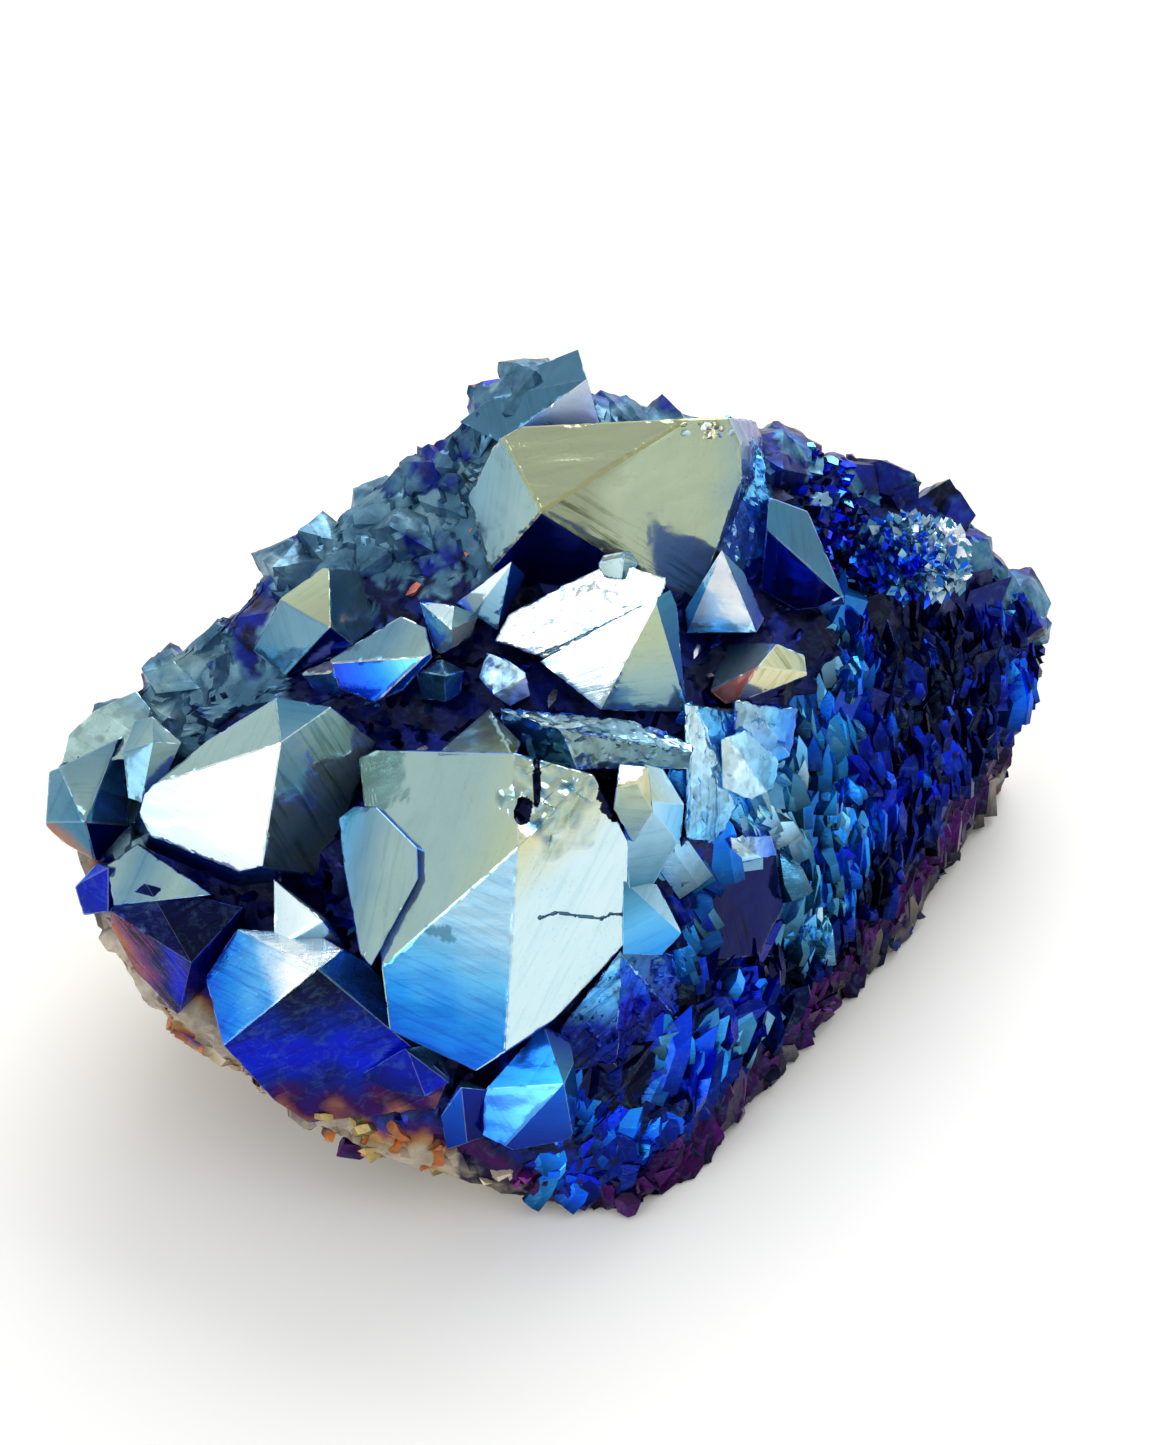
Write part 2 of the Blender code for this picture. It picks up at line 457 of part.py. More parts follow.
def blade(place, along, out, sizes, twist):
    """Make a short flat-sided blade that ends in a skewed point and stands off the wall."""
    width, thickness, length = sizes
    bm = bmesh.new()
    bmesh.ops.create_cone(bm, cap_ends=True, segments=BLADE_SIDES, radius1=0.5,
                          radius2=0.5 * BLADE_TAPER, depth=1.0,
                          matrix=Matrix.Rotation(twist, 4, "Z"))
    top = max(bm.faces, key=lambda face: face.calc_center_median().z)
    peak = bmesh.ops.poke(bm, faces=[top])["verts"][0]
    aside, forward, up = BLADE_PEAK
    peak.co += Vector((aside * math.cos(3.0 * twist), forward, up))
    side = along.cross(out).normalized()
    front = side.cross(along).normalized()
    turn = Matrix((side, front, along)).transposed()
    bmesh.ops.scale(bm, verts=bm.verts, vec=(width, thickness, length))
    bmesh.ops.rotate(bm, verts=bm.verts, matrix=turn)
    bmesh.ops.translate(bm, verts=bm.verts, vec=place)
    return bm


def lump(place, size, dice):
    """Make a broken lump with a few flat sides."""
    bm = bmesh.new()
    bmesh.ops.create_icosphere(bm, subdivisions=1, radius=1.0)
    for vert in bm.verts:
        vert.co = vert.co * dice.uniform(*LUMP_DENTS)
    bmesh.ops.scale(bm, verts=bm.verts, vec=size)
    turn = Matrix.Rotation(dice.uniform(0.0, math.tau), 3, "Z")
    bmesh.ops.rotate(bm, verts=bm.verts, matrix=turn @ Matrix.Rotation(dice.random(), 3, "X"))
    bmesh.ops.translate(bm, verts=bm.verts, vec=place)
    return bm


# --- Groups -----------------------------------------------------------------------------------

def add_crystals(collection):
    """Add every named crystal of the bed."""
    for name, shape in CRYSTALS.items():
        new_object(name, crystal(**shape), collection)


def add_blades(collection, surface):
    """Cover the right wall with blades, upright above and slanting below."""
    dice = random.Random(11)
    inwards = BED @ Vector((0.0, 0.0, -1.0))
    bare = [CRYSTALS[name]["outline"] for name in BARE_OF_BLADES]
    count = 0
    across = WALL_START
    while across < WALL_END:
        step = BLADE_PITCH * (1.0 if across < WALL_TURN else WALL_FORESHORTENING)
        up = WALL_BASE
        while up < WALL_TOP:
            spot = (across + dice.uniform(-BLADE_SPREAD, BLADE_SPREAD) * step,
                    up + dice.uniform(-BLADE_SPREAD, BLADE_SPREAD) * BLADE_PITCH)
            lean = dice.gauss(0.0, LEAN_SPREAD) + LEAN_BELOW * max(0.0, 1.0 - up / LEAN_TOP)
            sizes = (dice.uniform(*BLADE_WIDTHS), dice.uniform(*BLADE_DEPTHS),
                     dice.uniform(*BLADE_LENGTHS))
            swing = dice.uniform(-0.1, 0.55)
            twist = dice.uniform(0.0, math.tau)
            up += BLADE_PITCH
            if not inside(spot, BLADE_WALL) or any(inside(spot, ring) for ring in bare):
                continue
            place, normal, _, _ = surface.ray_cast(to_world((*spot, VIEW_OUT)), inwards)
            if place is None or place.z < BLADE_LOWEST:
                continue
            along = BED @ Vector((math.sin(lean), math.cos(lean), 0.0)) + normal * swing
            count += 1
            new_object(f"blade_{count}",
                       blade(place - normal, along.normalized(), normal, sizes, twist),
                       collection)
        across += step


def add_lumps(collection, surface):
    """Break up the back rim with rows of lumps, and set the boulder on the right."""
    dice = random.Random(5)
    rim = [to_world(corner) for corner in FRONT_CORNERS[BACK_RIM_START:]]
    count = 0
    for row in range(LUMP_ROWS):
        for start, end in zip(rim, rim[1:]):
            steps = max(1, round((end - start).length / LUMP_PITCH))
            for step in range(steps):
                spot = start.lerp(end, (step + dice.random() * 0.6) / steps)
                spot += BED @ Vector((0.0, dice.uniform(-2.5, 0.0) - LUMP_PITCH * row, 0.0))
                place, normal, _, _ = surface.find_nearest(spot)
                size = [dice.uniform(*LUMP_SIZES) for _ in range(3)]
                count += 1
                new_object(f"lump_{count}", lump(place - normal * LUMP_SINK, size, dice),
                           collection)
    new_object("boulder", lump(to_world(BOULDER_PLACE), BOULDER_SIZE, dice), collection)


# --- The specimen -----------------------------------------------------------------------------

def coat_material():
    """Make the titanium coat: a blue metallic film on quartz."""
    material = bpy.data.materials.new("titanium_coat")
    material.use_nodes = True
    shader = material.node_tree.nodes["Principled BSDF"]
    shader.inputs["Base Color"].default_value = (0.06, 0.24, 0.55, 1.0)
    shader.inputs["Metallic"].default_value = 0.85
    shader.inputs["Roughness"].default_value = 0.22
    material.diffuse_color = (0.06, 0.24, 0.55, 1.0)
    return material


def outer_skin(bm):
    """Keep the largest closed skin, and drop the shells of any hollow sealed inside it."""
    waiting = set(bm.faces)
    skins = []
    while waiting:
        skin = [waiting.pop()]
        for face in skin:
            for edge in face.edges:
                for other in edge.link_faces:
                    if other in waiting:
                        waiting.remove(other)
                        skin.append(other)
        skins.append(skin)
    largest = max(skins, key=len)
    dropped = [face for skin in skins if skin is not largest for face in skin]
    bmesh.ops.delete(bm, geom=dropped, context="FACES")


def grow_together(block, parts):
    """Join every crystal, blade and lump with the block in one solid."""
    union = block.modifiers.new("grown_together", "BOOLEAN")
    union.operation = "UNION"
    union.operand_type = "COLLECTION"
    union.collection = parts
    union.solver = "EXACT"
    union.use_self = True
    graph = bpy.context.evaluated_depsgraph_get()
    joined = bpy.data.meshes.new_from_object(block.evaluated_get(graph))
    block.modifiers.remove(union)
    bm = bmesh.new()
    bm.from_mesh(joined)
    outer_skin(bm)
    bmesh.ops.dissolve_degenerate(bm, dist=1e-6, edges=bm.edges)
    bm.to_mesh(block.data)
    bm.free()
    bpy.data.meshes.remove(joined)


def main():
    """Build the specimen."""
    for old in list(bpy.data.objects):
        bpy.data.objects.remove(old, do_unlink=True)
    specimen = bpy.data.collections.new("aura_quartz_cluster")
    parts = bpy.data.collections.new("grown_parts")
    for collection in (specimen, parts):
        bpy.context.scene.collection.children.link(collection)
    rock = rough_block()
    surface = BVHTree.FromBMesh(rock)
    add_crystals(parts)
    add_blades(parts, surface)
    add_lumps(parts, surface)
    for part in parts.objects:
        part.hide_render = True
        part.display_type = "WIRE"
    cluster = new_object("quartz_cluster", rock, specimen)
    grow_together(cluster, parts)
    cluster.data.materials.append(coat_material())


main()
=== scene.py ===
"""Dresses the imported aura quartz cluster: its crystals, broken rock and film of colour.

Pieces are shaped in millimetres on the specimen's own axes and brought into the frame, in
metres, when they are done. Places on the bed are (across, up, out): across runs to the right,
up runs up the tipped bed, and out stands straight out of it.
"""

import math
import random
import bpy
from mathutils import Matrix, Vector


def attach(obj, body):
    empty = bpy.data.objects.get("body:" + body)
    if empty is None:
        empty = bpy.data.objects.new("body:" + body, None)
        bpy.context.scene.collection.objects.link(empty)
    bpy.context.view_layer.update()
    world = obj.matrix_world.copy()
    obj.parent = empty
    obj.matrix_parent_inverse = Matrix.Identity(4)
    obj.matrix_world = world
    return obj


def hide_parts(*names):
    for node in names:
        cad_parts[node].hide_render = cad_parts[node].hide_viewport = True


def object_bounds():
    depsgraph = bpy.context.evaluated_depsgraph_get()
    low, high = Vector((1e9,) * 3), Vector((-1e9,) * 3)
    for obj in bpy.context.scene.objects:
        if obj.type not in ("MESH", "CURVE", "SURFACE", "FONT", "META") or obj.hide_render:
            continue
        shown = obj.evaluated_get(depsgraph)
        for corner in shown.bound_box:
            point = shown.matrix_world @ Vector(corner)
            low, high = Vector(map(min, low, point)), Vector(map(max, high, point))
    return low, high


bl_info = {
    "name": "Aura Quartz Cluster",
    "version": (1, 0, 0),
    "blender": (4, 5, 0),
    "location": "3D View > Sidebar > Aura Quartz",
    "description": "Crystals, broken rock and metal film for an aura quartz cluster",
    "category": "Add Mesh",
}

import bpy
import numpy as np
from bpy.props import FloatProperty, FloatVectorProperty, IntProperty, PointerProperty
from mathutils import Matrix, Vector, noise
from mathutils.bvhtree import BVHTree
from mathutils.geometry import convex_hull_2d

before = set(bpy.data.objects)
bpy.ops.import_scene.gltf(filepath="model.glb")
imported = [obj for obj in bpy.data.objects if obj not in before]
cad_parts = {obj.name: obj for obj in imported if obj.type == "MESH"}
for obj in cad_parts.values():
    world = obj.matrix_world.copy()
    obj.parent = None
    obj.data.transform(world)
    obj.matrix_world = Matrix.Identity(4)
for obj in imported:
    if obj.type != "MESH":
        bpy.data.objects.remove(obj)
CAD_LOW, CAD_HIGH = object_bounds()
NODE = "quartz_cluster"
BODY = "root"

MILLIMETRE = 0.001
BED_TIP = math.radians(45.0)        # the bed of crystals leans back by this much
ORIGIN_SHIFT = Vector((2.1, -36.4, 0.0))
FACET_SEED = 7                      # fixes the tilt of the broken flats, run after run
VIEW_OUT = 60.0                     # what grows on the rock is set on it from this far out

# --- Sizes of the rock, blades and lumps ------------------------------------------------------

BLOCK_STOCK = 120.0                 # side of the block that each crystal is cut from
FOOT_STOCK = 4.0                    # rock below the foot, cut off
COARSE_EDGE, COARSE_ROUNDS = 7.5, 5  # how finely the block is divided before it is roughened
ROCK_RELIEF, ROCK_GRAIN, ROCK_WAVES = 1.1, 9.0, (0.8, 2.2, 3)
ROCK_ROUNDS, CRYSTAL_ROUNDS = 6, 9
SMALL_FLATS, SMALL_SHADE = (0.36, 0.25), 0.2    # width, depth and shade beside the large flats
FOOT_FLAT, FOOT_LEAST = 0.05, 0.02  # up to here the foot stays flat, and no point sinks lower
FLAT_TILT, FLAT_RISE = 1.5, 0.6     # how far a broken flat tilts, and stands off the rest
TILT_SEED, RISE_SEED, LIGHT_SEED = 7.3, 3.1, 5.7
BLADE_PITCH, BLADE_SPREAD, BLADE_SIDES, BLADE_LOWEST = 5.2, 0.35, 5, 6.5
BLADE_TAPER, BLADE_PEAK = 0.92, (0.14, 0.16, 0.3)
BLADE_WIDTHS, BLADE_DEPTHS, BLADE_LENGTHS = (4.4, 7.4), (3.2, 5.2), (5.0, 9.0)
# the last value darkens the blades under the shards: painted shade
BLADE_SWING, BLADE_SHADE = (-0.1, 0.55), 0.75
LEAN_SPREAD, LEAN_BELOW, LEAN_TOP = 0.25, 0.6, 34.0
WALL_START, WALL_END, WALL_BASE, WALL_TOP = -2.0, 48.0, 2.0, 70.0
WALL_TURN, WALL_FORESHORTENING = 10.0, 0.68
LUMP_PITCH, LUMP_ROWS, BACK_RIM_START = 5.6, 2, 16
LUMP_SIZES, LUMP_DENTS, LUMP_SINK = (3.0, 6.0), (0.62, 1.1), 2.0
LUMP_JITTER, LUMP_DROP = 0.6, (-2.5, 0.0)
LUMP_GRAIN, LUMP_ROUNDS, LUMP_FLATS = 0.75, 5, (4.4, 0.7)

# --- Corners of the broken block --------------------------------------------------------------

FRONT_CORNERS = [                   # (across, up, out): the rim of the bed, from the left end
    (-51.0, 36.0, 0.5), (-48.5, 29.0, 1.5), (-44.0, 21.5, 2.5), (-37.4, 19.0, 4.0),
    (-30.5, 11.8, 4.5), (-21.4, 6.8, 5.0), (-14.0, 5.6, 4.5), (-5.7, 2.8, 2.5),
    (4.8, 0.6, -0.4), (10.8, 3.6, -3.2), (18.4, 13.0, -12.4), (25.0, 20.6, -20.0),
    (34.2, 28.6, -28.0), (38.0, 35.4, -34.6), (44.8, 44.2, -40.6), (46.0, 52.0, -39.6),
    (48.4, 61.0, -34.6), (42.4, 66.2, -27.0), (33.4, 74.2, -21.0), (23.8, 77.4, -15.0),
    (15.6, 77.8, -9.0), (-2.6, 84.4, -3.0), (-7.6, 82.8, -4.0), (-14.2, 75.2, -4.0),
    (-18.4, 72.8, -5.0), (-28.0, 66.4, -5.0), (-33.6, 61.8, -5.0), (-39.8, 56.6, -4.0),
    (-45.2, 51.8, -3.0), (-51.2, 46.8, -2.0), (-52.4, 41.8, -1.0),
]
BED_CORNERS = [                     # (across, up, out): how far the bed swells between them
    (-30.0, 38.0, 4.0), (-24.0, 50.0, 4.5), (-12.0, 60.0, 4.5), (8.0, 66.0, 3.5),
    (12.0, 50.0, 8.0), (10.0, 34.0, 9.0), (6.0, 20.0, 7.0), (-12.0, 16.0, 8.0),
    (-28.0, 22.0, 6.5), (0.0, 44.0, 9.5),
]
BACK_CORNERS = [                    # (x, y, z): the broken back and the foot
    (-43.0, 45.0, 24.0), (-33.0, 56.0, 26.0), (-20.0, 64.0, 36.0), (-6.0, 69.5, 46.0),
    (12.0, 71.5, 40.0), (-28.0, 61.0, 12.0), (-6.0, 72.0, 22.0), (18.0, 74.0, 18.0),
    (38.0, 72.5, 14.0),
]
FOOT_CORNERS = [                    # (x, y) where the sides meet the flat cut
    (5.0, 1.5), (11.0, 5.5), (18.4, 17.5), (25.0, 29.0), (34.0, 40.5), (38.0, 50.0),
    (43.0, 60.0), (31.0, 71.0), (0.0, 69.0), (-20.0, 59.0), (-31.0, 45.0), (-22.0, 25.0),
]
BLADE_WALL = [                      # (across, up): the ring of the wall where blades grow
    (10.0, 50.0), (23.5, 50.0), (26.0, 60.0), (46.8, 61.0), (46.0, 46.0), (35.0, 29.0),
    (20.0, 12.0), (6.0, 3.0), (0.0, 6.0), (0.0, 18.0), (7.0, 27.0),
]
BOULDER_PLACE = (33.6, 66.4, -13.0)
BOULDER_SIZE = (6.6, 5.0, 5.4)

# --- The crystals of the bed ------------------------------------------------------------------
# tip: the highest point of the roof. ridges: the far ends of the ridges that run down from it,
# in order round it; the flat faces of the roof lie between them, and a list that ends where it
# started goes all the way round. outline: the corners of the prism, seen straight from outside.
# root: how far out of the bed it starts. lean: how its sides lean across and up the bed.

CRYSTALS = {
    "hero": dict(
        tip=(-5.8, 37.3, 27.0),
        ridges=[(-18.7, 25.9, 20.4), (-7.2, 17.0, 18.5), (1.6, 44.4, 25.4), (-6.3, 46.6, 23.4),
                (-18.7, 25.9, 20.4)],
        outline=[(-21.9, 46.0), (-20.1, 46.9), (-6.3, 46.6), (1.6, 44.4), (5.1, 37.8),
                 (5.1, 27.8), (-2.3, 19.9), (-7.2, 16.8), (-10.1, 14.8), (-18.7, 18.9)],
        root=2.0),
    "hero_lobe": dict(
        tip=(-15.8, 34.0, 20.8),
        ridges=[(-23.9, 40.0, 12.4), (-20.6, 25.2, 20.1)],
        outline=[(-23.9, 40.0), (-22.3, 41.2), (-20.1, 41.2), (-15.9, 37.1), (-15.8, 34.0),
                 (-19.0, 29.3), (-20.5, 25.3), (-21.6, 26.5), (-23.3, 34.9)],
        root=2.0),
    "hero_back": dict(
        tip=(-6.6, 46.6, 22.6),
        ridges=[(-14.1, 46.6, 17.0), (-8.8, 51.0, 11.0), (-5.0, 47.4, 18.0)],
        outline=[(-14.1, 46.4), (-8.8, 51.0), (-5.6, 47.6), (-6.0, 46.4)],
        root=2.0),
    "left_white": dict(
        tip=(-29.6, 47.6, 17.0),
        ridges=[(-43.4, 43.1, 8.8), (-30.2, 51.9, 12.5), (-27.5, 49.1, 16.3),
                (-31.5, 35.9, 10.9), (-43.4, 43.1, 8.8)],
        outline=[(-43.6, 41.7), (-43.2, 43.3), (-36.8, 48.3), (-30.2, 51.9), (-28.0, 51.2),
                 (-20.0, 48.2), (-25.0, 35.8), (-33.6, 35.2), (-42.4, 39.5)],
        root=-2.0, lean=(0.12, 0.28)),
    "left_chip": dict(
        tip=(-42.6, 47.6, 8.6),
        ridges=[(-45.7, 46.7, 7.0), (-42.8, 50.4, 7.2), (-39.6, 47.4, 8.0), (-43.9, 41.5, 7.4),
                (-45.7, 46.7, 7.0)],
        outline=[(-45.7, 46.7), (-44.6, 49.7), (-42.8, 50.2), (-39.8, 47.6), (-41.9, 43.0),
                 (-43.9, 41.5), (-45.2, 42.0)],
        root=-3.0),
    "top_crystal": dict(
        tip=(-3.6, 70.8, 12.0),
        ridges=[(-7.0, 77.3, 7.5), (11.1, 80.1, 7.0), (11.3, 61.6, 2.2), (-9.0, 64.8, 5.0),
                (-7.0, 77.3, 7.5)],
        outline=[(-8.4, 77.6), (-12.0, 72.5), (-9.3, 66.0), (-9.0, 64.8), (0.0, 60.0),
                 (11.3, 61.6), (14.3, 69.8), (15.9, 74.1), (15.9, 77.8), (15.0, 80.4),
                 (-5.8, 79.4)],
        root=-8.0, lean=(-0.24, 0.0)),
    "peak_crystal": dict(
        tip=(1.0, 84.3, 3.0),
        ridges=[(2.2, 80.3, -0.5), (-5.5, 79.6, 0.5), (-9.0, 82.5, -1.5), (0.1, 87.4, -0.6),
                (2.2, 80.3, -0.5)],
        outline=[(-11.9, 80.1), (-4.5, 85.6), (0.1, 87.4), (1.2, 86.5), (4.0, 82.4),
                 (4.7, 80.9), (2.4, 78.5), (-6.0, 77.0)],
        root=-6.0),
    "middle_upper": dict(
        tip=(8.9, 63.9, 19.5),
        ridges=[(2.2, 65.2, 16.8), (-8.2, 57.8, 10.0), (1.6, 58.4, 14.8)],
        outline=[(-6.9, 60.4), (-3.4, 61.5), (2.2, 65.0), (4.4, 65.4), (8.9, 63.9), (8.3, 61.8),
                 (1.6, 58.4), (-3.2, 56.0), (-8.2, 57.8)],
        root=-2.0),
    "middle_knob": dict(
        tip=(4.6, 66.0, 19.0),
        ridges=[(2.3, 65.6, 17.0), (4.8, 67.0, 17.0), (6.2, 65.4, 17.5), (4.4, 64.0, 18.0),
                (2.3, 65.6, 17.0)],
        outline=[(2.1, 65.4), (2.6, 66.3), (5.2, 66.8), (6.2, 65.6), (5.0, 63.8), (2.6, 64.0)],
        root=-2.0),
    "middle_lower": dict(
        tip=(7.9, 61.5, 18.8),
        ridges=[(-3.7, 55.7, 11.8), (2.4, 50.9, 13.1), (10.9, 51.5, 11.0), (9.9, 62.0, 17.8)],
        outline=[(-3.7, 55.7), (1.6, 58.7), (7.9, 61.6), (9.3, 62.8), (9.9, 61.3), (10.9, 51.5),
                 (10.4, 50.7), (2.4, 50.9), (-1.7, 54.4)],
        root=-2.0),
    "small_white": dict(
        tip=(14.6, 66.8, 11.0),
        ridges=[(11.0, 61.0, 6.5), (11.1, 58.7, 5.0), (18.1, 58.7, 6.0), (17.6, 65.6, 6.0)],
        outline=[(14.5, 66.9), (10.9, 61.0), (11.1, 58.7), (18.1, 58.7), (18.9, 60.1),
                 (16.8, 64.7)],
        root=-8.0),
    "small_blue": dict(
        tip=(18.2, 55.2, 9.0),
        ridges=[(20.2, 57.6, 7.6), (23.2, 54.6, 5.6), (16.0, 51.7, 6.2), (13.5, 52.9, 6.4),
                (20.2, 57.6, 7.6)],
        outline=[(14.8, 57.7), (20.0, 57.6), (22.9, 56.4), (23.2, 54.3), (17.3, 52.0),
                 (15.0, 51.4), (13.4, 52.7)],
        root=-12.0),
    "teal_upper": dict(
        tip=(20.0, 68.4, 3.5),
        ridges=[(24.2, 70.6, -1.5), (27.0, 62.2, -0.5), (20.2, 61.6, -2.5), (18.6, 68.0, 2.8)],
        outline=[(19.4, 72.4), (23.4, 71.0), (26.9, 62.8), (27.2, 61.6), (22.4, 61.0),
                 (18.6, 63.0)],
        root=-16.0),
    "teal_lower": dict(
        tip=(26.0, 61.9, 1.0),
        ridges=[(24.3, 60.7, -1.0), (28.2, 59.9, -1.5), (27.2, 62.4, -1.0),
                (24.3, 60.7, -1.0)],
        outline=[(24.3, 61.3), (27.0, 62.6), (28.2, 59.9), (26.0, 59.4)],
        root=-14.0),
    "left_end": dict(
        tip=(-49.6, 39.6, 6.0),
        ridges=[(-53.6, 39.5, 2.6), (-52.0, 44.5, 4.6), (-46.6, 47.2, 5.4), (-45.3, 39.2, 2.4),
                (-48.7, 35.7, 2.6), (-53.6, 39.5, 2.6)],
        outline=[(-53.3, 44.6), (-52.0, 45.0), (-45.8, 48.2), (-45.3, 39.0), (-48.4, 35.5),
                 (-52.2, 37.6), (-53.7, 39.2)],
        root=-4.0),
    "left_slab": dict(
        tip=(-46.4, 49.6, 3.4),
        ridges=[(-51.8, 46.1, 1.4), (-48.5, 50.9, 1.0), (-44.4, 52.8, 1.6)],
        outline=[(-52.0, 45.5), (-51.4, 48.4), (-48.6, 50.9), (-44.6, 52.8), (-43.0, 51.0),
                 (-44.0, 46.0)],
        root=-5.0),
    "dark_left": dict(
        tip=(-38.7, 25.5, 11.4),
        ridges=[(-46.9, 30.6, 7.4), (-43.2, 33.2, 8.6), (-33.8, 30.8, 10.2), (-40.1, 20.2, 5.4),
                (-46.9, 30.6, 7.4)],
        outline=[(-46.9, 30.9), (-43.5, 33.4), (-33.6, 31.0), (-37.2, 23.2), (-40.3, 20.2),
                 (-44.6, 24.6), (-46.9, 29.0)],
        root=-1.0),
    "dark_left_top": dict(
        tip=(-37.0, 32.2, 10.6),
        ridges=[(-46.4, 31.4, 8.2), (-44.3, 37.4, 5.6)],
        outline=[(-47.4, 35.2), (-44.3, 37.4), (-36.6, 32.3), (-43.2, 33.0), (-46.6, 31.2)],
        root=-1.0),
    "dark_left_blue": dict(
        tip=(-47.2, 35.0, 7.2),
        ridges=[(-50.7, 33.2, 3.4), (-49.0, 35.8, 4.4), (-46.0, 35.0, 6.0), (-47.3, 30.4, 4.8),
                (-50.7, 33.2, 3.4)],
        outline=[(-50.7, 33.0), (-48.4, 35.4), (-46.4, 35.4), (-46.8, 30.6), (-49.9, 30.1)],
        root=-1.0),
    "low_front": dict(
        tip=(-25.9, 25.0, 17.0),
        ridges=[(-12.9, 13.9, 11.0), (-35.5, 17.2, 10.5), (-34.0, 28.8, 11.0),
                (-22.0, 28.0, 14.0), (-12.9, 13.9, 11.0)],
        outline=[(-34.0, 28.9), (-37.4, 23.9), (-35.5, 17.2), (-30.5, 11.6), (-27.1, 9.3),
                 (-14.1, 10.8), (-12.9, 13.9), (-18.4, 22.6), (-21.0, 25.6), (-26.0, 28.4)],
        root=0.0),
    "low_front_step": dict(
        tip=(-16.9, 16.6, 13.4),
        ridges=[(-23.4, 13.1, 8.8), (-15.3, 12.2, 9.8), (-12.8, 13.4, 10.6), (-15.0, 18.0, 12.0)],
        outline=[(-23.4, 13.2), (-17.2, 17.0), (-14.0, 17.4), (-12.6, 13.6), (-15.3, 12.0)],
        root=0.0),
    "needle_left": dict(
        tip=(-25.4, 29.7, 15.6),
        ridges=[(-30.4, 33.8, 12.4), (-30.2, 27.0, 11.8), (-23.0, 26.6, 11.6),
                (-24.0, 30.2, 13.0), (-30.4, 33.8, 12.4)],
        outline=[(-30.4, 33.9), (-25.2, 30.0), (-22.9, 26.6), (-28.2, 26.7), (-30.4, 27.1)],
        root=0.0),
    "yellow_tip": dict(
        tip=(-24.8, 59.2, 9.0),
        ridges=[(-25.0, 64.9, 5.2), (-29.8, 61.9, 5.2), (-29.4, 54.4, 2.8), (-21.2, 56.4, 5.2),
                (-25.0, 64.9, 5.2)],
        outline=[(-29.8, 62.2), (-25.6, 65.2), (-22.1, 65.0), (-17.8, 61.5), (-22.7, 57.4),
                 (-24.0, 56.4), (-29.4, 54.3), (-32.8, 56.9)],
        root=-8.0),
    "pale_ridge": dict(
        tip=(-15.4, 56.2, 10.0),
        ridges=[(-17.5, 60.3, 7.8), (-24.9, 55.6, 6.0), (-19.4, 52.4, 8.0), (-14.0, 53.6, 8.0)],
        outline=[(-24.9, 56.0), (-17.7, 60.3), (-15.2, 59.2), (-14.5, 56.2), (-17.5, 52.8),
                 (-20.4, 51.6), (-24.0, 53.0)],
        root=-4.0),
    "pale_ridge_end": dict(
        tip=(-24.6, 54.6, 6.4),
        ridges=[(-28.2, 54.4, 3.6), (-24.0, 56.4, 5.6), (-22.4, 53.0, 5.6), (-28.2, 54.4, 3.6)],
        outline=[(-28.0, 54.6), (-24.0, 56.4), (-21.6, 53.0), (-25.4, 51.8)],
        root=-4.0),
    "star_tip": dict(
        tip=(-12.6, 58.9, 12.0),
        ridges=[(-15.8, 61.7, 8.6), (-12.3, 61.6, 9.6), (-9.8, 60.3, 8.6), (-12.5, 57.0, 9.0),
                (-14.4, 56.6, 8.2), (-15.8, 61.7, 8.6)],
        outline=[(-15.8, 61.7), (-12.3, 61.4), (-9.9, 60.4), (-10.6, 58.4), (-12.5, 57.0),
                 (-13.7, 56.5), (-14.4, 56.9)],
        root=-4.0),
    "needle_mid": dict(
        tip=(-6.6, 65.5, 13.4),
        ridges=[(-12.2, 61.6, 8.4), (-10.2, 60.8, 9.0), (-8.0, 58.9, 9.0), (-5.2, 64.2, 9.5)],
        outline=[(-6.6, 65.7), (-12.2, 61.6), (-10.4, 60.6), (-8.0, 58.9), (-7.0, 60.6),
                 (-5.2, 64.4)],
        root=-4.0),
    "chip_mid": dict(
        tip=(-5.1, 54.2, 13.0),
        ridges=[(-9.1, 56.7, 10.6), (-8.6, 52.3, 9.8), (-4.7, 52.0, 11.4)],
        outline=[(-9.1, 56.6), (-6.9, 55.8), (-5.2, 54.6), (-4.7, 52.3), (-6.7, 51.2),
                 (-8.4, 52.4), (-9.8, 54.2)],
        root=-2.0),
    "small_teal": dict(
        tip=(-13.3, 54.3, 10.6),
        ridges=[(-16.1, 54.8, 8.4), (-13.6, 56.0, 8.8), (-11.3, 54.8, 8.6), (-13.2, 51.7, 8.2),
                (-16.1, 54.8, 8.4)],
        outline=[(-16.1, 54.7), (-13.6, 56.0), (-11.3, 54.9), (-11.7, 52.5), (-13.2, 51.7),
                 (-15.7, 52.0)],
        root=-2.0),
    "behind_hero": dict(
        tip=(-1.6, 48.9, 17.4),
        ridges=[(-7.6, 50.8, 14.4), (5.0, 50.0, 13.6), (11.5, 46.6, 13.0), (0.0, 45.0, 16.6),
                (-7.6, 50.8, 14.4)],
        outline=[(-7.6, 50.9), (-2.0, 50.4), (5.2, 49.8), (11.5, 47.4), (11.2, 45.0), (-6.0, 45.0)],
        root=0.0),
    "cream_chip": dict(
        tip=(6.0, 43.6, 21.4),
        ridges=[(4.4, 45.6, 20.4), (7.2, 45.2, 19.6), (7.6, 40.7, 19.4), (5.4, 37.8, 20.0)],
        outline=[(4.2, 45.5), (7.1, 45.2), (7.6, 40.7), (5.6, 37.6), (3.6, 41.0)],
        root=2.0),
    "teal_shell": dict(
        tip=(7.0, 41.8, 19.2),
        ridges=[(8.2, 45.6, 16.4), (10.6, 41.4, 15.0), (10.2, 37.4, 15.2), (6.0, 33.2, 17.4)],
        outline=[(6.8, 45.5), (8.6, 45.0), (10.7, 41.5), (10.4, 38.2), (7.7, 33.5), (5.2, 33.0),
                 (4.6, 40.0)],
        root=2.0),
    "pale_prism": dict(
